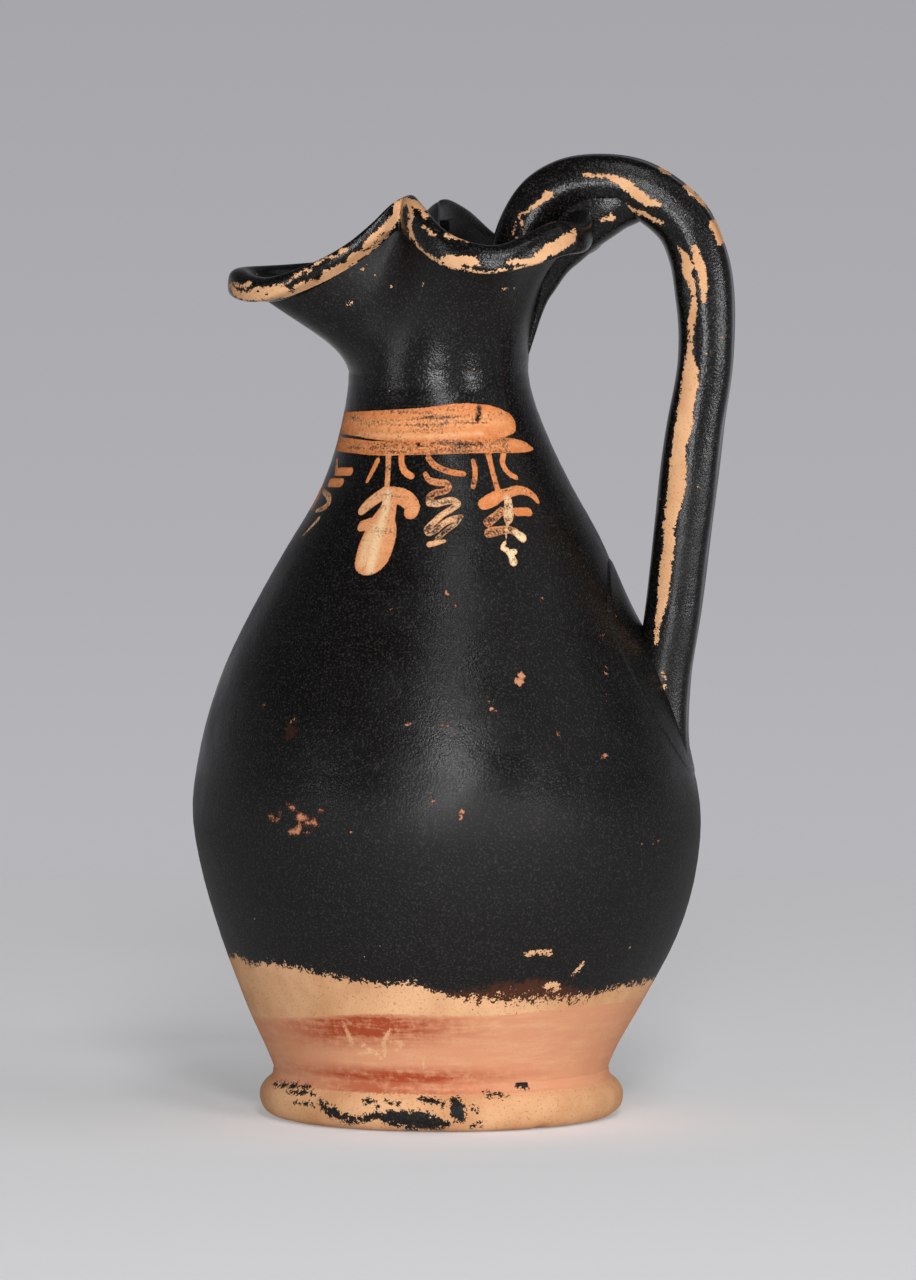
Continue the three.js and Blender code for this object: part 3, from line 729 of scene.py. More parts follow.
def textures(tree):
    """The position in mm, and the noises that all the layers share."""
    coordinates = node(tree, "ShaderNodeTexCoord", out=3)
    place = node(tree, "ShaderNodeVectorMath", {0: coordinates, "Scale": 1 / MM}, operation="SCALE")
    turned = node(tree, "ShaderNodeVectorMath", {0: place, 1: ROUND_THE_WALL}, operation="MULTIPLY")
    kinds = {
        "clouds": {"Vector": place, "Scale": 1 / CLOUD, "Detail": 3},
        "flakes": {"Vector": place, "Scale": 1 / FLAKE, "Detail": 5, "Roughness": 0.65},
        "grains": {"Vector": place, "Scale": 1 / GRAIN, "Detail": 1.5, "Roughness": 0.6},
        "lines": {"Vector": turned, "Scale": 1 / LINE, "Detail": 4, "Roughness": 0.6},
    }
    noise = {name: node(tree, "ShaderNodeTexNoise", inputs) for name, inputs in kinds.items()}
    return {"place": place, **noise}


print("grain size, mm:", GRAIN)

# %% [markdown]
# Bare clay is pale buff, with warmer clouds where the kiln was hotter and dark grains. On the lower
# wall the potter brushed a thin pink wash round, and it fired to a stronger red where it pooled.

# %% Bare clay and its wash
CLAY_PALE, CLAY_WARM, CLAY_DARK = "#ebb98c", "#d39d70", "#9a6644"
WASH_PINK, WASH_RED = "#dc9a76", "#a84a2a"
COLOUR = {"data_type": "RGBA", "out": 2}  # makes a Mix node mix colours


def bare_clay(tree, noise):
    warm = node(tree, "ShaderNodeMapRange", {0: noise["clouds"], 1: 0.35, 2: 0.68})
    clay = node(tree, "ShaderNodeMix", {0: warm, 6: linear(CLAY_PALE), 7: linear(CLAY_WARM)}, **COLOUR)
    specks = node(tree, "ShaderNodeMapRange", {0: noise["grains"], 1: 0.58, 2: 0.80, 4: 0.8})
    return node(tree, "ShaderNodeMix", {0: specks, 6: clay, 7: linear(CLAY_DARK)}, **COLOUR)


def washed_clay(tree, marks, noise, clay):
    edge = node(tree, "ShaderNodeMath", {0: noise["grains"], 1: 0.8, 2: marks["wash"]},
                operation="MULTIPLY_ADD")
    mask = node(tree, "ShaderNodeMapRange", {0: edge, 1: 0.25, 2: 0.6}, interpolation_type="SMOOTHSTEP")
    brushed = node(tree, "ShaderNodeMapRange", {0: noise["lines"], 1: 0.3, 2: 0.6, 3: 0.45, 4: 1.0})
    amount = node(tree, "ShaderNodeMath", {0: mask, 1: brushed}, operation="MULTIPLY")
    pink = node(tree, "ShaderNodeMix", {0: amount, 6: clay, 7: linear(WASH_PINK)}, **COLOUR)
    mottled = node(tree, "ShaderNodeMath", {0: noise["flakes"], 1: noise["lines"]}, operation="ADD")
    mottled = node(tree, "ShaderNodeMapRange", {0: mottled, 1: 0.75, 2: 1.1, 3: 0.25, 4: 1.0})
    pooled = node(tree, "ShaderNodeMath", {0: marks["red"], 1: mottled}, operation="MULTIPLY")
    pooled = node(tree, "ShaderNodeMath", {0: pooled, 1: mask}, operation="MULTIPLY")
    return node(tree, "ShaderNodeMix", {0: pooled, 6: pink, 7: linear(WASH_RED)}, **COLOUR)


print("clay from", CLAY_PALE, "to", CLAY_WARM, "and wash", WASH_PINK)

# %% [markdown]
# Slip breaks off in flakes, never along a smooth line. So noise is added to the stored depth before the
# depth is cut, which moves the edge in and out. A chip is a small ball round its place, and the noise
# that shakes the position tears its outline. Pinholes, where a bubble burst in the kiln, are the
# middles of Voronoi cells, and they show only inside some of the clouds.

# %% Where the slip is whole
TEAR, TEAR_REACH = 0.8, 1.6  # size of the tears and how far they shake a position, mm
PINHOLE_SPACING, PINHOLE_RADIUS = 3.2, 0.07  # mm, and as a share of the spacing
WHOLE_FROM = 2.6  # the ragged depth at which the slip starts: the mean of what the two noises add


def ragged_depth(tree, marks, noise):
    torn = node(tree, "ShaderNodeMath", {0: noise["flakes"], 1: 3.0, 2: marks["slip"]},
                operation="MULTIPLY_ADD")
    return node(tree, "ShaderNodeMath", {0: noise["grains"], 1: 2.2, 2: torn}, operation="MULTIPLY_ADD")


def chip_depth(tree, noise):
    """How far inside the nearest chip each place lies, in mm."""
    tears = {"Vector": noise["place"], "Scale": 1 / TEAR, "Detail": 2}
    shaken = node(tree, "ShaderNodeTexNoise", tears, out=1)
    shaken = node(tree, "ShaderNodeVectorMath", {0: shaken, "Scale": TEAR_REACH}, operation="SCALE")
    shaken = node(tree, "ShaderNodeVectorMath", {0: noise["place"], 1: shaken}, operation="ADD")
    deepest_chip = None
    for middle, size in zip(*chip_places()):
        shaken_middle = tuple(middle + TEAR_REACH / 2)
        away = node(tree, "ShaderNodeVectorMath", {0: shaken, 1: shaken_middle}, out=1, operation="DISTANCE")
        chip = node(tree, "ShaderNodeMath", {0: size, 1: away}, operation="SUBTRACT")
        if deepest_chip is None:
            deepest_chip = chip
        else:
            deepest_chip = node(tree, "ShaderNodeMath", {0: deepest_chip, 1: chip}, operation="MAXIMUM")
    return deepest_chip


def whole_slip(tree, noise, ragged, chip):
    whole = node(tree, "ShaderNodeMapRange", {0: ragged, 1: WHOLE_FROM - 0.06, 2: WHOLE_FROM + 0.06})
    unchipped = node(tree, "ShaderNodeMapRange", {0: chip, 1: 0.03, 2: -0.03})
    cells = node(tree, "ShaderNodeTexVoronoi", {"Vector": noise["place"], "Scale": 1 / PINHOLE_SPACING})
    pinhole = node(tree, "ShaderNodeMapRange", {
        0: noise["clouds"], 1: 0.45, 2: 0.75, 3: 0.0, 4: PINHOLE_RADIUS})
    unpitted = node(tree, "ShaderNodeMath", {0: cells, 1: pinhole}, operation="GREATER_THAN")
    mask = node(tree, "ShaderNodeMath", {0: whole, 1: unchipped}, operation="MULTIPLY")
    return node(tree, "ShaderNodeMath", {0: mask, 1: unpitted}, operation="MULTIPLY")


print("pinholes every, mm:", PINHOLE_SPACING)

# %% [markdown]
# The slip is a warm black with grey specks of dust and painted sparkle, brown where brushed on thinly.
# Under a flake the clay is a fresh orange pink, with a dark red rim where the slip is only broken thin.

# %% Colours of the slip and under its flakes
SLIP_BLACK, SLIP_DUST_AND_SPARKLE, SLIP_BROWN = "#0b0a09", "#302e2d", "#472616"
CHIP_RIM, CHIP_CLAY = "#743a1f", "#c58a69"


def slip_colour(tree, marks, noise):
    thinned = node(tree, "ShaderNodeMath", {0: noise["flakes"], 1: marks["thin"]}, operation="MULTIPLY")
    thinned = node(tree, "ShaderNodeMapRange", {0: thinned, 1: 0.35, 2: 0.62})
    # grey specks from the grains: partly real dust, partly painted sparkle that stands in for the fine glints
    dust_and_sparkle = node(tree, "ShaderNodeMapRange", {0: noise["grains"], 1: 0.52, 2: 0.72})
    black = node(tree, "ShaderNodeMix", {0: dust_and_sparkle, 6: linear(SLIP_BLACK), 7: linear(SLIP_DUST_AND_SPARKLE)}, **COLOUR)
    return node(tree, "ShaderNodeMix", {0: thinned, 6: black, 7: linear(SLIP_BROWN)}, **COLOUR)


def chipped_clay(tree, marks, noise, ground, ragged, chip):
    """The ground, with the clay of fresh chips in its place well above the wash."""
    core = node(tree, "ShaderNodeMath", {0: noise["flakes"], 1: 0.5, 2: chip}, operation="MULTIPLY_ADD")
    core = node(tree, "ShaderNodeMapRange", {0: core, 1: 0.24, 2: 0.50})
    inside_flake = node(tree, "ShaderNodeMapRange", {0: ragged, 1: 2.5, 2: 1.7})
    core = node(tree, "ShaderNodeMath", {0: core, 1: inside_flake}, operation="MAXIMUM")
    chipped = node(tree, "ShaderNodeMix", {0: core, 6: linear(CHIP_RIM), 7: linear(CHIP_CLAY)}, **COLOUR)
    high_up = node(tree, "ShaderNodeMapRange", {0: marks["wash"], 1: -18.0, 2: -25.0})
    return node(tree, "ShaderNodeMix", {0: high_up, 6: ground, 7: chipped}, **COLOUR)


print("slip black:", SLIP_BLACK)

# %% [markdown]
# The painter's colours are thin clay washes too. A stroke is deeper in colour at its edge, where the
# wash pooled and dried, and time has rubbed it through along the brush's lines. Cream was laid over
# orange, and the two run into each other.

# %% Painted strokes
PAINT_DEEP, PAINT_ORANGE, PAINT_CREAM, PAINT_DIRTY = "#d27a42", "#eba06a", "#f4dcb0", "#6b3a1e"


def rubbed_paint(tree, marks, noise):
    """How hard the paint was rubbed: brush lines and grains, and the stored wear."""
    rubbing = node(tree, "ShaderNodeMath", {0: noise["grains"], 1: noise["lines"]}, operation="ADD")
    return node(tree, "ShaderNodeMath", {0: rubbing, 1: 0.5, 2: marks["worn"]}, operation="MULTIPLY_ADD")


def whole_paint(tree, marks, noise, rubbing):
    edge = node(tree, "ShaderNodeMath", {0: noise["grains"], 1: 0.3, 2: marks["paint"]},
                operation="MULTIPLY_ADD")
    painted = node(tree, "ShaderNodeMapRange", {0: edge, 1: 0.12, 2: 0.20})
    kept = node(tree, "ShaderNodeMapRange", {0: rubbing, 1: 0.74, 2: 0.58})
    return node(tree, "ShaderNodeMath", {0: painted, 1: kept}, operation="MULTIPLY")


def paint_colour(tree, marks, noise, rubbing):
    streaks = node(tree, "ShaderNodeMath", {0: noise["flakes"], 1: noise["lines"]}, operation="ADD")
    streaks = node(tree, "ShaderNodeMath", {0: streaks, 1: 0.5}, operation="MULTIPLY")
    inwards = node(tree, "ShaderNodeMath", {0: marks["paint"], 1: 0.12}, operation="MULTIPLY")
    spread = node(tree, "ShaderNodeMath", {0: streaks, 1: 1.6, 2: inwards}, operation="MULTIPLY_ADD")
    middle = node(tree, "ShaderNodeMapRange", {0: spread, 1: 0.68, 2: 1.12})
    orange = node(tree, "ShaderNodeMix", {
        0: middle, 6: linear(PAINT_DEEP), 7: linear(PAINT_ORANGE)}, **COLOUR)
    hue = node(tree, "ShaderNodeMix", {0: marks["cream"], 6: orange, 7: linear(PAINT_CREAM)}, **COLOUR)
    dirty = node(tree, "ShaderNodeMapRange", {0: rubbing, 1: 0.50, 2: 0.72, 4: 0.8})
    return node(tree, "ShaderNodeMix", {0: dirty, 6: hue, 7: linear(PAINT_DIRTY)}, **COLOUR)


print("paint:", PAINT_ORANGE, "and", PAINT_CREAM)

# %% [markdown]
# The sintered slip has a satin gloss: brightest on the neck, duller on the handled belly, and nearly
# matt near the foot and under the lip. Clay and paint are matt. The relief adds up the dents of the
# hand, the steps at the edges of slip and paint, the crackled skin and the lines of the wheel. Each is
# given as a height in mm, so the Bump node can work in real sizes.

# %% Gloss and relief
NECK_GLOSS, BELLY_GLOSS, LOW_GLOSS, MOUTH_GLOSS = 0.22, (0.27, 0.40), 0.60, 0.50  # roughness
CLAY_ROUGHNESS, PAINT_ROUGHNESS = 0.85, 0.70
NECK_FADE, LOW_FADE = (118.0, 100.0), (60.0, 50.0)  # heights over which one gloss turns into the next
SLIP_THICKNESS = 0.03  # mm; real slip is thinner, and this shows its step
PAINT_THICKNESS = 0.02
DENTS, FLAKE_RELIEF, GRAIN_RELIEF, LINE_RELIEF = 0.25, 0.03, 0.06, 0.012  # mm


def roughness(tree, marks, noise, slip_mask, paint_mask):
    low, high = BELLY_GLOSS
    satin = node(tree, "ShaderNodeMapRange", {0: noise["clouds"], 1: 0.35, 2: 0.65, 3: low, 4: high})
    height = node(tree, "ShaderNodeSeparateXYZ", {0: noise["place"]}, out=2)
    handled = node(tree, "ShaderNodeMapRange", {0: height, 1: NECK_FADE[0], 2: NECK_FADE[1]})
    satin = node(tree, "ShaderNodeMix", {0: handled, 2: NECK_GLOSS, 3: satin})
    matt_low = node(tree, "ShaderNodeMapRange", {0: height, 1: LOW_FADE[0], 2: LOW_FADE[1]})
    satin = node(tree, "ShaderNodeMix", {0: matt_low, 2: satin, 3: LOW_GLOSS})
    satin = node(tree, "ShaderNodeMix", {0: marks["dull"], 2: satin, 3: MOUTH_GLOSS})
    clay_or_slip = node(tree, "ShaderNodeMix", {0: slip_mask, 2: CLAY_ROUGHNESS, 3: satin})
    return node(tree, "ShaderNodeMix", {0: paint_mask, 2: clay_or_slip, 3: PAINT_ROUGHNESS})


def relief(tree, noise, slip_mask, paint_mask):
    total = node(tree, "ShaderNodeMath", {0: slip_mask, 1: SLIP_THICKNESS}, operation="MULTIPLY")
    layers = (
        (paint_mask, PAINT_THICKNESS), (noise["clouds"], DENTS), (noise["flakes"], FLAKE_RELIEF),
        (noise["grains"], GRAIN_RELIEF), (noise["lines"], LINE_RELIEF),
    )
    for layer, thickness in layers:
        total = node(tree, "ShaderNodeMath", {0: layer, 1: thickness, 2: total}, operation="MULTIPLY_ADD")
    return node(tree, "ShaderNodeBump", {"Height": total, "Distance": MM, "Strength": 1.0})


print("roughness of clay:", CLAY_ROUGHNESS, "and of the neck's slip:", NECK_GLOSS)

# %% [markdown]
# The layers lie on one another as on the jug: clay, wash, slip, paint. Fired clay and its slip are
# silicates, so nothing is metallic, and the IOR is a little under that of glass, because the surface
# stays porous. For the same reason the specular level is below the default.

# %% The whole material
CLAY_IOR, CLAY_SPECULAR = 1.42, 0.30


def earthenware_material():
    made, tree = new_material("slip_coated_earthenware")
    marks = read_marks(tree)
    noise = textures(tree)
    ground = washed_clay(tree, marks, noise, bare_clay(tree, noise))
    ragged = ragged_depth(tree, marks, noise)
    chip = chip_depth(tree, noise)
    ground = chipped_clay(tree, marks, noise, ground, ragged, chip)
    slip_mask = whole_slip(tree, noise, ragged, chip)
    slip = slip_colour(tree, marks, noise)
    coated = node(tree, "ShaderNodeMix", {0: slip_mask, 6: ground, 7: slip}, **COLOUR)
    rubbing = rubbed_paint(tree, marks, noise)
    paint_mask = whole_paint(tree, marks, noise, rubbing)
    paint = paint_colour(tree, marks, noise, rubbing)
    surface = node(tree, "ShaderNodeBsdfPrincipled", {
        "Base Color": node(tree, "ShaderNodeMix", {0: paint_mask, 6: coated, 7: paint}, **COLOUR),
        "Roughness": roughness(tree, marks, noise, slip_mask, paint_mask),
        "Normal": relief(tree, noise, slip_mask, paint_mask),
        "IOR": CLAY_IOR, "Metallic": 0.0, "Specular IOR Level": CLAY_SPECULAR})
    node(tree, "ShaderNodeOutputMaterial", {"Surface": surface})
    return made


EARTHENWARE = earthenware_material()
print("material:", EARTHENWARE.name, len(EARTHENWARE.node_tree.nodes), "nodes")


def finish_piece(piece, cad_node):
    """Dresses a piece, ties it to the construction model's root and hides the construction part it replaces.
    """
    piece.data.materials.append(EARTHENWARE)
    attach(piece, "root")
    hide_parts(cad_node)


# %% [markdown]
# ## The thrown body
# The potter threw the body as a closed-in bulb: the wheel leaves faint rings, and the drying wall never
# stays perfectly round. The ripple could be left to a bump, but then the outline and the highlights
# would stay too perfect. So each ring of the skin gets a hair of ripple and a slow unevenness, the same
# on the body and on the neck, because the two were smoothed together at the joint.

# %% Body: floor, belly and shoulder
COLUMNS = 480
TURN = np.arange(COLUMNS) * 2 * math.pi / COLUMNS
SHOULDER_START = 95  # height from which the rings lie closer, for the shoulder's curve
BELLY_ROWS, SHOULDER_ROWS, INSIDE_ROWS = 111, 61, 22
COVE = 7.0  # height over which the inner wall rounds into the floor


def thrown(radius, z):
    """Rings of the wall at the given radii and heights, with the jug's lean."""
    radius, z = np.broadcast_arrays(np.asarray(radius, float), np.asarray(z, float))
    rings = polar(radius[:, None], TURN[None, :], z[:, None])
    rings[..., 0] += lean_at(z)[:, None]
    return rings


def uneven(rings, angle, z):
    """Moves rings in or out a little, by direction and height."""
    ripple = 0.010 * np.sin(z * 1.9 + 1.2 * np.sin(angle)) + 0.008 * np.sin(z * 3.3 + 0.8 * np.cos(angle))
    slow = wobble(0.10, 5, z / 9, 2 * np.cos(angle), 2 * np.sin(angle))
    out = np.stack([np.cos(angle), np.sin(angle), 0 * angle], -1)
    return rings + (ripple + slow)[..., None] * out


def body_rings():
    belly = np.linspace(FOOT_HEIGHT, SHOULDER_START, BELLY_ROWS)
    shoulder = np.linspace(SHOULDER_START, NECK_JOINT_Z, SHOULDER_ROWS)
    heights = np.r_[belly, shoulder[1:]]
    under = thrown([2, 14, 25], FOOT_HEIGHT)
    outside = thrown(outer_radius(heights), heights)
    angle, z = np.broadcast_arrays(TURN[None, :], heights[:, None])
    outside = uneven(outside, angle, z)
    cove_top = FOOT_HEIGHT + FLOOR + COVE
    down = np.linspace(NECK_JOINT_Z, cove_top, INSIDE_ROWS)
    inside = thrown(inner_radius(down), down)
    corner = np.radians([22, 45, 67, 90])
    bend = thrown(inner_radius(cove_top) - COVE * (1 - np.cos(corner)), cove_top - COVE * np.sin(corner))
    floor = thrown([20, 10, 1], FOOT_HEIGHT + FLOOR)
    return np.concatenate([under, outside, inside, bend, floor])


# %% [markdown]
# The black slip was brushed down to a wavering line above the foot, and below it the clay got a thin
# pink wash. Flakes have come off here and there, mostly where the slip was thin. Edges that run round
# the jug are curves of height by direction. Flakes and scratches are strokes, and all of them are
# stored on the mesh, where the belly's points are less than a millimetre apart.

# %% Marks on the body
SLIP_EDGE = [
    (-35.3, 26.6), (-28.5, 25.6), (-20.8, 24.5), (-15.6, 23.2), (-8.9, 22.1), (-2.9, 21.4), (1.4, 20.6),
    (10.0, 20.1), (14.2, 19.7), (18.4, 19.7), (24.9, 20.4), (30.4, 21.4), (34.1, 22.6),
]
SLIP_EDGE_FAR = [(20, 23.5), (55, 22.0), (90, 24.0), (130, 26.5), (160, 27.5)]  # degrees and height
WASH_EDGE = [
    (-29.3, 16.6), (-19.9, 16.8), (-12.4, 17.2), (-2.9, 17.0), (10.0, 17.0), (18.4, 17.8), (31.2, 19.4),
]
WASH_EDGE_FAR = [(20, 20.0), (60, 19.0), (100, 17.5), (140, 18.5), (165, 17.5)]
FLAKES = [
    stroke((-24.1, 51.1, 0.85), (-22.5, 50.1, 0.4), (-21.1, 49.6, 0.3)),
    stroke((-25.9, 48.7, 0.45), (-24.4, 48.7, 0.6), (-24.3, 49.9, 0.25)),
    stroke((-29.2, 51.5, 0.3), (-28.8, 50.6, 0.35)),
    stroke((-27.6, 51.8, 0.2), (-28.0, 50.5, 0.2)),
    stroke((-26.1, 53.2, 0.2), (-25.2, 52.5, 0.35)),
    stroke((-21.0, 52.2, 0.4), (-20.6, 52.2, 0.4)),
    stroke((-23.2, 48.6, 0.15), (-21.8, 48.6, 0.18)),
    stroke((-22.0, 50.9, 0.18), (-20.6, 49.7, 0.15)),
    stroke((2.8, 64.9, 0.12), (3.3, 64.6, 0.2)),
    stroke((27.4, 82.4, 0.16), (27.8, 82.3, 0.16)),
    stroke((19.6, 66.2, 0.14), (20.9, 64.2, 0.2)),
    stroke((14.7, 27.4, 0.45), (16.6, 27.8, 0.5), (18.5, 27.7, 0.4)),
    stroke((18.2, 22.0, 0.6), (19.8, 21.7, 0.7)),
    stroke((22.6, 24.0, 0.15), (24.6, 26.0, 0.2)),
]
SCUFFS = [  # scratches in the pink wash
    stroke((-16.9, 15.7, 0.2), (-15.2, 12.2, 0.3)),
    stroke((-14.1, 12.4, 0.2), (-10.2, 9.6, 0.3)),
    stroke((-8.5, 14.6, 0.2), (-9.8, 12.4, 0.35), (-9.5, 10.2, 0.2)),
    stroke((-10.7, 12.0, 0.2), (-6.7, 12.4, 0.25)),
    stroke((-7.8, 10.9, 0.25), (-6.3, 12.0, 0.2)),
    stroke((-14.1, 10.3, 0.2), (-11.9, 10.7, 0.3)),
    stroke((-3.2, 9.2, 0.15), (-2.8, 7.6, 0.2)),
]
EDGE_RAGGED, FLAKE_RAGGED, WEAR_RAGGED = 1.5, 0.6, 0.5  # how far flaking moves an edge, mm
BROKEN_EDGE = (-62, 18)  # direction and spread in degrees, where the slip's edge is thin and broken
RED_TOP, RED_LOW = (-108, 26), (-100, 34)  # where the wash pooled, below its edge and above the foot
RED_LOW_HEIGHT = 9.4
BROWN_PATCH = (-125, 68.5)  # direction and height of a thumb-sized brown patch on the belly


def edge_line(near, far):
    """A wavering line round the wall, as height by direction in degrees."""
    found = onto_wall(near)
    pairs = [(math.degrees(a) % 360, h) for a, h in found] + list(far)
    return curve_through(sorted(pairs), 360)


slip_edge = edge_line(SLIP_EDGE, SLIP_EDGE_FAR)
wash_edge = edge_line(WASH_EDGE, WASH_EDGE_FAR)


def wall_place(points):
    """Direction and distance from the leaning axis."""
    x = points[:, 0] - lean_at(points[:, 2])
    return np.arctan2(points[:, 1], x), np.hypot(x, points[:, 1])


def near_direction(angle, degrees, spread):
    """1 at a direction, falling to 0 over the spread."""
    off = (np.degrees(angle) - degrees + 180) % 360 - 180
    return np.exp(-(off / spread)**2)


def mark_body(piece):
    points = mesh_points(piece)
    angle, radius = wall_place(points)
    z = points[:, 2]
    degrees = np.degrees(angle)
    outside = radius > outer_radius(z) - 0.7
    above = z - slip_edge(degrees) - wobble(0.5, 31, 14 * np.cos(angle), 14 * np.sin(angle))
    broken = near_direction(angle, *BROKEN_EDGE)
    slip = above / (EDGE_RAGGED + 1.6 * broken)
    slip = np.minimum(slip, -deepest(on_sheet(points), FLAKES) / FLAKE_RAGGED)
    depth, cream, worn = paint_on_wall(angle, z)
    wash = wash_edge(degrees) - z
    wash_left = np.minimum(wash, -deepest(on_sheet(points), SCUFFS))
    below_edge = np.clip((wash + 0.2) / 0.8, 0, 1) * np.clip(1.9 - wash / 3.4, 0, 1)
    above_foot = np.clip(1 - np.abs(z - RED_LOW_HEIGHT) / 2.2, 0, 1)
    red = 1.3 * near_direction(angle, *RED_TOP) * below_edge
    red = red + 1.4 * near_direction(angle, *RED_LOW) * above_foot
    thin = 1.4 * broken * np.clip(1.5 - above / 4, 0, 1) + 0.6 * np.clip(1 - above / 2.5, 0, 1)
    thin = thin + 0.8 * np.exp(-((degrees - BROWN_PATCH[0]) / 6)**2 - ((z - BROWN_PATCH[1]) / 4)**2)
    store(
        piece, slip=np.where(outside, slip, -6), paint=np.where(outside, depth, -3), cream=cream, worn=worn,
        wash=np.where(outside, wash_left, -3), red=np.clip(red, 0, 1.3), thin=np.clip(thin, 0, 1.4),
    )


body = skin("belly_surface", body_rings())
mark_body(body)
finish_piece(body, "belly")

# %% [markdown]
# ## Neck and pinched mouth
# The neck was thrown on its own, set on the shoulder, and its rim pinched while it was soft. It could be
# sculpted from a round tube, but the potter's two fingers are easier to follow with a curve for each
# direction, from the neck's waist to the lip. The skin goes up the outside and comes down again inside,
# one wall's thickness deeper. Slip was poured into the mouth and out again, so it ends inside in runs.

# %% Neck and mouth
NECK_ROWS, FLARE_ROWS = 60, 76
LIP_WALL = 0.6  # the wall's thickness under the lip, as a share of the wall's


def outward(rings):
    """Unit vectors square to a sheet of rings."""
    along = np.roll(rings, -1, axis=1) - np.roll(rings, 1, axis=1)
    up = np.gradient(rings, axis=0)
    normal = np.cross(along, up)
    return normal / np.linalg.norm(normal, axis=-1, keepdims=True)


def mouth_rings():
    heights = np.linspace(NECK_JOINT_Z, NECK_WAIST_Z, NECK_ROWS + 1)[:-1]
    rises = np.linspace(0, 1, FLARE_ROWS)
    neck = thrown(outer_radius(heights), heights)
    flare = np.stack([mouth_point(TURN, rise) for rise in rises])
    outside = np.concatenate([neck, flare])
    wall = np.r_[np.full(NECK_ROWS, WALL), WALL * (1 - (1 - LIP_WALL) * rises**4)][:, None, None]
    inside = outside - wall * outward(outside)
    inside[0, :, 2] = NECK_JOINT_Z
    angle, z = np.broadcast_arrays(TURN[None, :], outside[:, :1, 2])
    fade = np.clip((NECK_WAIST_Z + 8 - z) / 8, 0.25, 1)[..., None]
    outside = outside + fade * (uneven(outside, angle, z) - outside)
    return np.concatenate([outside, inside[::-1][::2]])


WALL_SCRATCHES = [
    stroke((-13.6, 144.9, 0.1), (-12.7, 145.7, 0.13)),
    stroke((-16.0, 139.2, 0.12), (-15.2, 139.3, 0.14)),
    stroke((-8.4, 142.0, 0.12), (-8.2, 142.0, 0.12)),
    stroke((-3.1, 142.0, 0.07), (-2.9, 142.6, 0.08)),
    stroke((10.7, 141.6, 0.16), (10.9, 141.6, 0.16)),
    stroke((11.6, 141.7, 0.06), (12.4, 141.8, 0.06)),
]
DULL_FROM = 133.0  # height from which the mouth's slip is rubbed dull
INNER_EDGE = 121  # height in the neck at which the slip inside ends, on average


def mark_mouth(piece):
    points = mesh_points(piece)
    angle, radius = wall_place(points)
    z = points[:, 2]
    outside = np.arange(len(points)) < (NECK_ROWS + FLARE_ROWS) * COLUMNS
    depth, cream, worn = paint_on_wall(angle, z)
    runs = INNER_EDGE + 4 * np.sin(2 * angle + 0.6) + 2.5 * np.sin(5 * angle)
    scratched = -deepest(on_sheet(points), WALL_SCRATCHES) / WEAR_RAGGED
    dull = np.clip((z - DULL_FROM) / 6, 0, 1) * 0.9
    slip = np.where(outside, np.minimum(scratched, 6), z - runs)
    store(piece, slip=slip, paint=np.where(outside, depth, -3), cream=cream, worn=worn, dull=dull)


mouth = skin("neck_and_mouth_surface", mouth_rings(), closed=True)
mark_mouth(mouth)
finish_piece(mouth, "neck_and_mouth")

# %% [markdown]
# ## Rolled lip
# The rim ends in a thick rolled bead with a sharp lower edge, cut with a tool while the wheel turned. A
# bevelled curve would give it one round section. Here the section is drawn once and carried round the
# lip, taller in the folds, and wider where the lip runs askew to the ring's own direction. Hands and
# tables have worn its high places down to the clay for centuries.

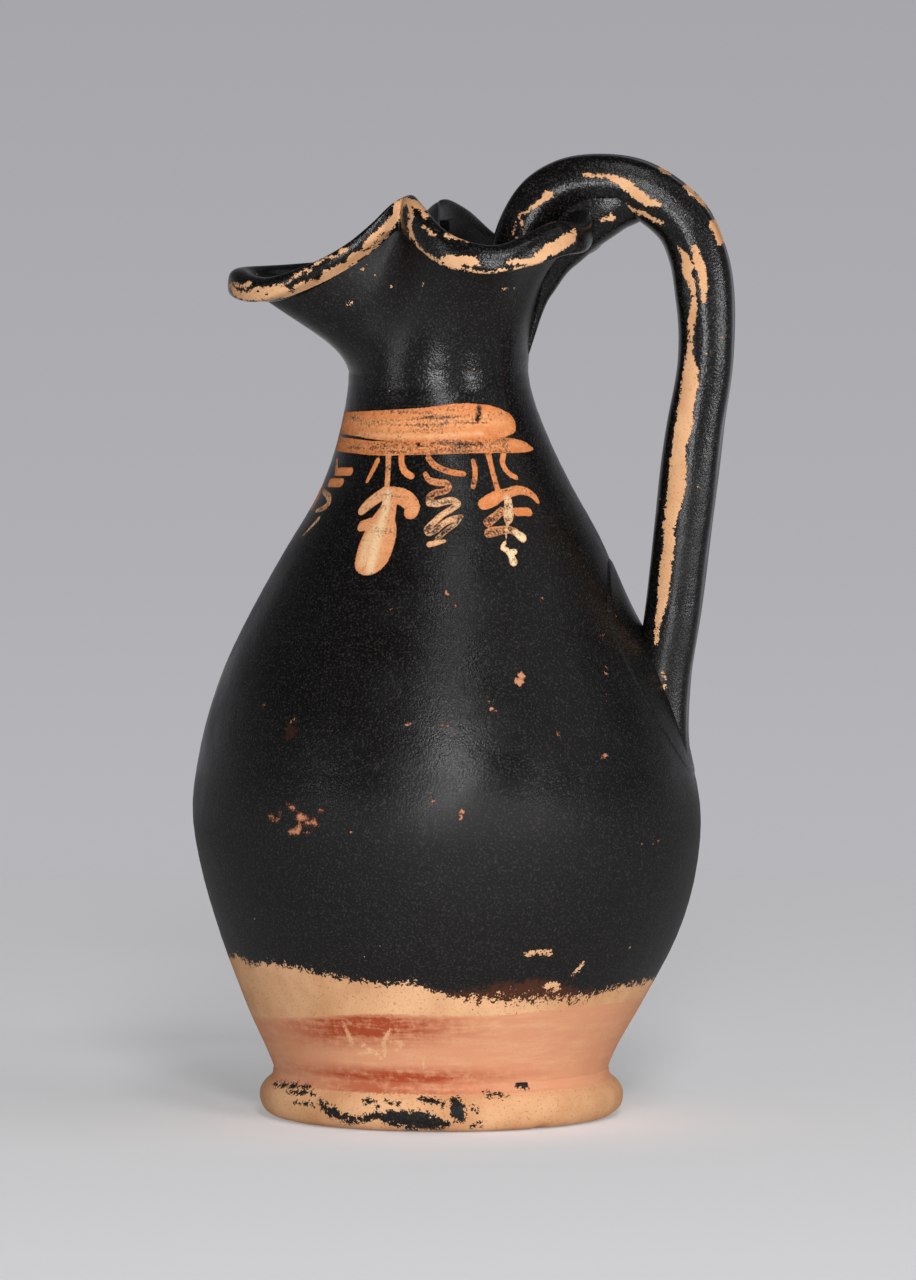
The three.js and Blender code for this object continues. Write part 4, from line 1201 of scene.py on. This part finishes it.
# %% Lip
LIP_COLUMNS = 720
WIDEST = 1.7  # the section is never widened more than this
LIP_SECTION = [  # across and up, as shares of the half sizes, from the lower outer edge upwards
    (0.80, -1.0), (1.0, -0.72), (1.0, 0.1), (0.86, 0.66), (0.42, 0.98), (-0.3, 1.0), (-0.86, 0.66),
    (-1.0, 0.0), (-0.95, -0.7), (-0.6, -1.0), (0.2, -0.93),
]
LIP_WEAR = [
    stroke((-35.9, 142.4, 0.2), (-35.4, 141.3, 0.45), (-34.4, 140.6, 0.6), (-32.6, 140.7, 1.0),
           (-31.1, 140.8, 1.15), (-29.3, 140.9, 1.2), (-27.4, 141.2, 1.05), (-26.3, 140.9, 0.8),
           (-25.6, 140.7, 0.3)),
    stroke((-35.4, 142.7, 0.2), (-34.2, 142.1, 0.25), (-32.9, 142.5, 0.45)),
    stroke((-25.8, 140.5, 0.3), (-24.9, 141.1, 0.64), (-23.8, 141.8, 1.0), (-22.9, 141.8, 0.65),
           (-22.0, 142.4, 0.8), (-21.0, 142.5, 0.5), (-20.3, 142.7, 0.4), (-19.6, 143.7, 0.9),
           (-18.3, 144.4, 0.77), (-16.9, 145.3, 0.75), (-15.6, 146.0, 0.64), (-14.6, 147.0, 1.05),
           (-13.7, 147.5, 0.8), (-12.7, 148.2, 0.78), (-11.9, 149.5, 1.05), (-11.0, 150.3, 1.0),
           (-10.1, 151.0, 0.95), (-9.2, 152.1, 0.9), (-8.1, 153.5, 0.85), (-7.5, 154.7, 0.7),
           (-7.2, 156.0, 0.8), (-6.3, 156.6, 0.6), (-4.8, 156.4, 0.6), (-3.8, 155.8, 0.6),
           (-3.0, 155.2, 0.4)),
    stroke((-28.2, 142.1, 0.25), (-26.7, 142.4, 0.22), (-25.6, 143.2, 0.26), (-24.1, 144.3, 0.22),
           (-22.8, 145.0, 0.15)),
    stroke((-23.8, 144.1, 0.15), (-22.1, 144.8, 0.2)),
    stroke((-21.8, 145.7, 0.08), (-20.5, 146.3, 0.2), (-19.4, 147.0, 0.26), (-18.5, 147.2, 0.2)),
    stroke((-17.8, 147.3, 0.14), (-17.6, 147.3, 0.14)),
    stroke((-17.1, 147.9, 0.32), (-16.0, 148.5, 0.34)),
    stroke((-13.6, 145.0, 0.12), (-12.7, 145.7, 0.14)),
    stroke((-13.0, 146.3, 0.08), (-12.1, 147.1, 0.1), (-10.6, 148.2, 0.08)),
    stroke((-5.3, 155.4, 0.45), (-5.1, 153.6, 0.36), (-5.4, 152.4, 0.28), (-5.2, 151.5, 0.38),
           (-4.8, 150.3, 0.32), (-4.2, 149.2, 0.27), (-3.4, 148.2, 0.3), (-2.3, 147.4, 0.3),
           (-1.1, 146.8, 0.3), (-0.2, 146.3, 0.35)),
    stroke((-4.0, 156.8, 0.15), (-2.9, 156.0, 0.16), (-1.7, 155.1, 0.16)),
    stroke((-3.1, 154.5, 0.3), (-2.5, 154.1, 0.4)),
    stroke((-3.1, 152.5, 0.34), (-2.3, 151.7, 0.25), (-1.1, 150.9, 0.35), (-0.6, 151.1, 0.1)),
    stroke((0.7, 150.8, 0.26), (2.3, 150.5, 0.33), (3.8, 150.1, 0.27), (4.6, 149.7, 0.15)),
    stroke((-0.2, 146.4, 0.3), (0.6, 146.8, 0.6), (2.0, 146.6, 0.82), (3.4, 146.4, 0.82),
           (4.7, 146.4, 0.64), (5.9, 146.4, 0.58), (6.4, 146.0, 0.3)),
    stroke((-0.2, 146.2, 0.3), (1.6, 145.6, 0.3), (3.3, 145.2, 0.25), (4.7, 144.9, 0.18), (6.3, 144.4, 0.2),
           (8.3, 144.5, 0.19), (10.1, 144.8, 0.15), (11.9, 145.0, 0.17), (13.7, 145.4, 0.17),
           (15.0, 145.7, 0.2)),
    stroke((11.6, 146.1, 0.25), (12.5, 146.4, 0.5), (13.7, 146.5, 0.5), (14.6, 146.3, 0.55),
           (15.5, 146.3, 0.75), (16.4, 146.7, 0.85), (17.3, 147.3, 0.8), (18.3, 148.2, 1.05),
           (19.2, 148.6, 1.05), (20.1, 149.1, 1.1), (21.0, 149.8, 1.1), (21.9, 150.3, 0.95),
           (22.4, 150.7, 0.6)),
    stroke((22.6, 151.7, 0.42), (22.7, 151.0, 0.38), (22.8, 150.2, 0.14), (22.7, 149.2, 0.12)),
]
LIP_KEPT = [  # black that is left inside the worn places
    stroke((-33.8, 141.5, 0.3), (-33.0, 141.3, 0.42)),
    stroke((-26.1, 142.2, 0.25), (-25.4, 141.3, 0.4)),
    stroke((-31.3, 141.2, 0.06), (-31.2, 141.2, 0.08)),
    stroke((-29.9, 140.7, 0.06), (-29.8, 140.7, 0.08)),
    stroke((-28.9, 139.9, 0.1), (-27.0, 140.1, 0.1)),
    stroke((-21.6, 141.7, 0.1), (-20.6, 142.1, 0.12)),
    stroke((-16.3, 145.3, 0.08), (-14.8, 146.0, 0.12), (-13.0, 147.0, 0.12), (-12.3, 147.6, 0.08)),
    stroke((-13.4, 148.0, 0.1), (-11.9, 148.8, 0.1), (-11.0, 149.7, 0.14), (-9.9, 151.0, 0.08)),
    stroke((-10.8, 148.9, 0.08), (-9.2, 150.6, 0.1), (-7.9, 152.5, 0.08)),
    stroke((-5.0, 150.2, 0.05), (-4.1, 148.7, 0.07), (-2.7, 147.2, 0.07), (-1.1, 146.4, 0.07)),
    stroke((3.8, 145.6, 0.2), (5.6, 145.6, 0.16), (6.4, 145.4, 0.1)),
    stroke((12.6, 145.7, 0.1), (13.9, 145.8, 0.25), (14.6, 146.0, 0.12)),
    stroke((-7.0, 155.4, 0.08), (-6.6, 155.8, 0.1)),
    stroke((-4.6, 155.3, 0.1), (-4.3, 154.8, 0.1)),
]


def rounded(outline, times):
    """Cuts the corners of a closed outline again and again, which rounds it."""
    points = np.array(outline, float)
    for _ in range(times):
        after = np.roll(points, -1, axis=0)
        points = np.stack([0.75 * points + 0.25 * after, 0.25 * points + 0.75 * after], 1).reshape(-1, 2)
    return points


def lip_rings():
    turn = np.arange(LIP_COLUMNS) * 2 * math.pi / LIP_COLUMNS
    along = lip_point(turn + 0.02) - lip_point(turn - 0.02)
    flat = np.hypot(along[:, 0], along[:, 1])
    across = np.abs(along[:, 1] * np.cos(turn) - along[:, 0] * np.sin(turn))
    widen = np.minimum(flat / across, WIDEST)
    section = rounded(LIP_SECTION, 2)
    out = LIP_HALF_WIDTH * widen[:, None] * section[None, :, 0]
    up = lip_half_height(np.degrees(turn))[:, None] * section[None, :, 1]
    uneven_out = wobble(0.10, 8, 3 * np.cos(turn), 3 * np.sin(turn))[:, None]
    return lip_point(turn)[:, None, :] + polar(out + uneven_out, turn[:, None], up)


def mark_lip(piece):
    points = mesh_points(piece)
    sheet = on_sheet(points)
    wear = np.minimum(deepest(sheet, LIP_WEAR), -deepest(sheet, LIP_KEPT))
    angle = np.arctan2(points[:, 1], points[:, 0])
    outer = np.hypot(points[:, 0], points[:, 1]) - lip_radius(angle)
    rubbed = wobble(0.9, 21, 7 * np.cos(angle), 7 * np.sin(angle), points[:, 2] / 3) - 1.2
    wear = np.where(outer > np.where(points[:, 1] < 0, -0.6, 0.8), wear, rubbed)
    store(piece, slip=-wear / WEAR_RAGGED)


lip = skin("rolled_lip_surface", lip_rings()[:, ::-1], closed=True)
mark_lip(lip)
finish_piece(lip, "rolled_lip")

# %% [markdown]
# ## Strap handle
# The handle is a strap of clay pulled by hand, with a rib along each edge. It was pressed inside the
# mouth first, arched over, and its lower end smeared on the belly. An extruded curve would be as even as
# a machine's, so the section is carried along the path in rings, which swell and shrink a little as a
# pulled strap does. Its ribs stand highest, so they are the most worn.

# %% Handle
STRAP_PATH = [
    (12.9, 144.0), (13.7, 149.3), (15.1, 153.4), (17.4, 156.9), (21.0, 159.2), (27.6, 160.2), (33.1, 159.3),
    (37.3, 157.0), (41.5, 153.1), (43.9, 147.6), (45.2, 139.6), (45.3, 130.0), (43.6, 118.2), (41.7, 101.8),
    (39.7, 85.3), (38.0, 75.0), (37.5, 66.0), (37.9, 60.0), (37.6, 54.0),
]
STRAP_SECTION = [  # outwards and sideways, mm: one half, from the middle of the outer face
    (4.5, 0), (4.9, 4.1), (2.4, 5.5), (-0.4, 6.1), (-3.2, 5.1), (-4.9, 2.9),
]
STRAP_RINGS = 420
SHOULDER_OF_ARCH, OUTER_SIDE = 142.5, 35  # where the strap turns down: height, and right of the axis
ARCH_SWELL = 0.06  # how much thicker the strap is there
HANDLE_WEAR = [
    stroke((18.4, 157.8, 0.7), (17.1, 156.7, 0.48), (16.1, 155.8, 0.38), (15.0, 155.0, 0.28),
           (13.7, 154.5, 0.17), (13.0, 153.5, 0.16), (12.6, 152.1, 0.2), (12.3, 151.0, 0.14)),
    stroke((13.8, 153.3, 0.16), (13.8, 152.7, 0.24)),
    stroke((14.1, 151.6, 0.16), (14.0, 151.1, 0.14)),
    stroke((13.0, 150.4, 0.22), (13.2, 150.1, 0.2)),
    stroke((24.6, 161.1, 0.24), (27.4, 160.9, 0.38), (29.7, 160.4, 0.53), (31.8, 159.3, 0.83),
           (33.3, 157.9, 0.9), (35.1, 156.7, 0.8), (37.4, 156.1, 0.35)),
    stroke((29.6, 155.6, 0.24), (31.2, 155.8, 0.35), (32.7, 155.2, 0.35), (34.5, 154.6, 0.4),
           (36.2, 153.6, 0.35), (38.0, 152.7, 0.2)),
    stroke((27.5, 153.5, 0.3), (29.4, 153.7, 0.3)),
    stroke((37.3, 162.2, 0.27), (38.9, 161.4, 0.27)),
    stroke((41.6, 159.3, 0.27), (43.8, 157.0, 0.24), (45.4, 155.5, 0.2), (47.2, 153.4, 0.18)),
    stroke((46.3, 152.8, 0.6), (47.6, 149.9, 0.6)),
    stroke((40.7, 148.7, 0.35), (42.0, 146.3, 0.8), (42.1, 144.3, 0.7), (42.9, 142.2, 0.5),
           (43.2, 139.2, 0.5), (42.9, 136.3, 0.6), (42.7, 134.7, 0.54), (42.6, 132.5, 0.36),
           (42.4, 130.8, 0.5)),
    stroke((43.3, 148.7, 0.45), (43.8, 146.6, 0.8), (44.7, 144.3, 0.75), (44.8, 141.9, 0.65),
           (44.8, 139.5, 0.4)),
    stroke((42.4, 130.4, 0.6), (42.7, 127.3, 1.22), (42.5, 125.3, 1.42), (42.1, 122.7, 1.34),
           (41.7, 120.5, 1.39), (41.5, 117.6, 1.48), (41.0, 115.9, 1.22), (40.6, 113.6, 1.2),
           (40.5, 110.5, 1.48), (40.2, 107.4, 1.48), (39.6, 104.0, 1.22), (39.1, 101.7, 0.97),
           (38.9, 97.7, 1.02), (38.4, 93.7, 1.0), (38.1, 90.3, 0.94), (37.9, 88.0, 0.85),
           (37.3, 85.6, 0.55), (36.7, 80.8, 0.25)),
    stroke((37.9, 76.0, 0.15), (38.4, 74.3, 0.15), (38.1, 73.1, 0.15)),
]
WEB_WEAR = [
    stroke((27.5, 153.5, 0.3), (29.4, 153.7, 0.3)),
    stroke((29.0, 154.8, 0.15), (29.0, 153.7, 0.2)),
    stroke((23.8, 148.5, 0.15), (25.2, 149.9, 0.22)),
]
WALL_GRIP, GRIP_BELOW = 1.2, 100  # how far the handle's foot goes into the wall, below which height


def path_curves(points):
    """x and z along a path, by distance along it, and its length."""
    pairs = np.array(points, float)
    gone = np.r_[0, np.cumsum(np.linalg.norm(np.diff(pairs, axis=0), axis=1))]
    return curve_through(list(zip(gone, pairs[:, 0]))), curve_through(list(zip(gone, pairs[:, 1]))), gone[-1]


def strap_rings():
    x_of, z_of, length = path_curves(STRAP_PATH)
    gone = np.linspace(0, length, STRAP_RINGS)
    middle = np.stack([x_of(gone), 0 * gone, z_of(gone)], -1)
    tangent = np.gradient(middle, axis=0)
    tangent /= np.linalg.norm(tangent, axis=1, keepdims=True)
    out = np.stack([-tangent[:, 2], 0 * gone, tangent[:, 0]], -1)
    far = [(o, -s) for o, s in STRAP_SECTION[:0:-1]]
    section = rounded(STRAP_SECTION + far, 3)
    stretch = 1 + wobble(0.03, 3, gone / 14)[:, None]
    swell = ARCH_SWELL * np.exp(-((middle[:, 2] - SHOULDER_OF_ARCH) / 6)**2)
    bend = 1 + swell * (middle[:, 0] > OUTER_SIDE)
    lift = section[None, :, 0] * stretch * bend[:, None]
    lift = lift + wobble(0.12, 4, gone[:, None] / 8, section[None, :, 1] / 3)
    side = section[None, :, 1] * (1 + wobble(0.03, 6, gone / 18)[:, None])
    rings = middle[:, None, :] + lift[..., None] * out[:, None, :]
    rings[..., 1] += side
    x = rings[..., 0] - lean_at(rings[..., 2])
    radius = np.hypot(x, rings[..., 1])
    low = rings[..., 2] < GRIP_BELOW
    floor = outer_radius(rings[..., 2]) - WALL_GRIP
    grow = np.where(low & (radius < floor), floor / radius, 1)
    rings[..., 0] += x * (grow - 1)
    rings[..., 1] *= grow
    return rings


def mark_handle(piece):
    points = mesh_points(piece)
    store(piece, slip=-deepest(on_sheet(points), HANDLE_WEAR) / WEAR_RAGGED)


handle = skin("strap_handle", strap_rings()[:, ::-1])
mark_handle(handle)
finish_piece(handle, "handle")

# %% [markdown]
# ## Clay that holds the handle
# A wad of clay fills the corner below the arch, and another was smeared over the strap's lower end.
# Both are joints that a potter makes with a finger: thick in the middle and thin at the edge. The wad is
# a row of slices, each a rounded keel that opens into the strap. The smear is a low dome of rings laid
# on the belly's own curve, so that it follows the wall exactly and its edge can waver.

# %% Wad under the arch
WEB_UNDERSIDE = [  # along, height of its keel and half width, mm
    (14.8, 129.7, 0.6), (16.4, 134.6, 1.8), (17.2, 137.0, 2.5), (18.3, 139.6, 3.1), (19.5, 141.4, 3.6),
    (21.8, 144.6, 4.3), (23.9, 146.4, 4.8), (26.1, 148.3, 5.2), (28.2, 149.8, 5.4), (30.3, 151.2, 5.3),
    (31.6, 152.1, 5.1), (33.1, 152.8, 4.6), (34.6, 153.5, 3.8),
]
WEB_TOP, WEB_ROUNDNESS = 157.5, 2.4


def web_rings():
    """Slices across the wad from the neck to the arch. Each is a keel that opens up into the strap."""
    knots = np.array(WEB_UNDERSIDE)
    x = np.linspace(knots[0, 0], knots[-1, 0], 150)
    keel = curve_through(knots[:, :2])(x)
    half = curve_through(knots[:, [0, 2]])(x)
    across = np.sin(np.linspace(-math.pi / 2, math.pi / 2, 90))
    up = 1 - np.maximum(1 - np.abs(across)**WEB_ROUNDNESS, 0)**(1 / WEB_ROUNDNESS)
    y = half[:, None] * across
    z = keel[:, None] + (WEB_TOP - keel)[:, None] * up
    return np.stack([np.broadcast_to(x[:, None], y.shape), y, z], -1)


web = skin("handle_top_clay_surface", web_rings())
store(web, slip=-deepest(on_sheet(mesh_points(web)), WEB_WEAR) / WEAR_RAGGED)
finish_piece(web, "handle_top_clay")

# %% Smear round the strap's lower end
SMEAR_MIDDLE = 77.0
SMEAR_HALF = (14.5, 18.5)  # round the belly and up it, mm
SMEAR_EDGE, SMEAR_THICKNESS = 0.22, 1.9
SMEAR_COLUMNS, SMEAR_ROWS = 240, 70


def smear_rings():
    turn = np.arange(SMEAR_COLUMNS) * 2 * math.pi / SMEAR_COLUMNS
    share = np.r_[1.03, np.linspace(1, 0.03, SMEAR_ROWS)]
    ragged = 1 + wobble(0.04, 12, 3 * np.cos(turn), 3 * np.sin(turn))
    z = SMEAR_MIDDLE + SMEAR_HALF[1] * share[:, None] * (ragged * np.sin(turn))
    around = SMEAR_HALF[0] * share[:, None] * (ragged * np.cos(turn))
    rise = np.clip(1 - share, 0, 1)[:, None]
    crown = SMEAR_EDGE * np.clip(rise / 0.03, 0, 1) + SMEAR_THICKNESS * rise**2
    thick = np.where(share[:, None] > 1, -0.6, crown)
    thick = thick + wobble(0.10, 13, z / 5, around / 5) * np.clip(rise / 0.2, 0, 1)
    radius = outer_radius(z) + thick
    rings = polar(radius, around / radius, z)
    rings[..., 0] += lean_at(z)
    return rings


smear = skin("handle_base_clay_surface", smear_rings())
store(smear)
finish_piece(smear, "handle_base_clay")

# %% [markdown]
# ## Foot ring
# The foot was turned from leather-hard clay and left bare, apart from the wash on its upper face. Bits
# of black slip stayed on it where it stood in the slip or was splashed. Its section is a closed outline
# with rounded corners, turned round the axis, and small bites are taken out of the edge it stands on,
# where a real foot chips first.

# %% Foot
FOOT_OUTLINE = [  # distance from the axis and height, with a fillet that runs up the wall
    (24.5, 0.0), (28.4, 0.0), (30.2, 0.8), (31.1, 2.3), (31.2, 4.2), (30.4, 5.7), (29.3, 6.5), (28.8, 7.2),
    (28.75, 8.4), (27.5, 8.0), (26.5, 7.0), (20.5, 7.0), (21.5, 4.5), (23.3, 1.0),
]
FOOT_BLACK = [
    stroke((-28.4, 5.0, 0.3), (-25.1, 4.75, 0.45), (-22.3, 4.45, 0.2)),
    stroke((-26.2, 3.7, 0.15), (-24.0, 3.85, 0.25), (-21.8, 3.4, 0.15)),
    stroke((-20.3, 1.5, 0.5), (-18.9, 0.4, 0.8), (-16.6, -0.7, 0.7), (-13.3, -0.9, 0.6), (-11.5, -0.4, 0.5),
           (-8.9, -0.7, 1.0), (-5.9, -1.0, 1.6), (-3.0, -1.2, 1.5), (0.7, -2.0, 0.6)),
    stroke((-13.2, 2.1, 0.2), (-11.0, 1.9, 0.35), (-10.8, 1.2, 0.2)),
    stroke((-9.3, 2.1, 0.25), (-7.4, 1.4, 0.35)),
    stroke((-3.7, 2.6, 0.3), (-1.5, 2.2, 0.45), (0.7, 1.7, 0.3)),
    stroke((2.4, 1.8, 1.1), (3.2, -0.2, 1.2)),
    stroke((5.4, 1.2, 0.25), (6.2, 0.3, 0.3)),
    stroke((5.7, -2.1, 0.35), (6.4, -1.8, 0.3)),
    stroke((7.7, 3.3, 0.25), (11.4, 3.1, 0.25)),
    stroke((13.4, 5.2, 0.7), (14.3, 5.0, 0.75)),
    stroke((-25.1, 1.9, 0.15), (-22.2, 1.5, 0.2)),
]
WASH_RIM = 29.4
FOOT_RAGGED = 1.1  # mm
WORN_EDGE = 29.2  # radius of the standing ring's outer edge


def foot_rings():
    outline = rounded(FOOT_OUTLINE, 3)
    rings = thrown(outline[:, 0], outline[:, 1])
    angle, z = np.broadcast_arrays(TURN[None, :], rings[..., 2])
    worn_edge = np.exp(-((outline[:, 0] - WORN_EDGE) / 1.4)**2 - (outline[:, 1] / 1.3)**2)[:, None]
    bites = np.clip(wobble(0.9, 17, 9 * np.cos(angle), 9 * np.sin(angle)) - 0.2, 0, 1)
    rings[..., 2] += worn_edge * bites
    return uneven(rings, angle, z)


def mark_foot(piece):
    points = mesh_points(piece)
    angle, radius = wall_place(points)
    black = deepest(on_sheet(points), FOOT_BLACK) / FOOT_RAGGED
    outer = radius > 27
    top = (points[:, 2] > 3.5) & outer
    store(piece, slip=np.where(outer, black, -6), wash=np.where(top, WASH_RIM - radius, -3),
          red=0.8 * near_direction(angle, -104, 32))


foot = skin("foot_ring_surface", foot_rings(), closed=True)
mark_foot(foot)
finish_piece(foot, "foot_ring")

# %% [markdown]
# ## Close
# The colours above are meant to be seen as written, so the picture uses the plain Standard view. The

# %% View
bpy.context.scene.view_settings.view_transform = "Standard"
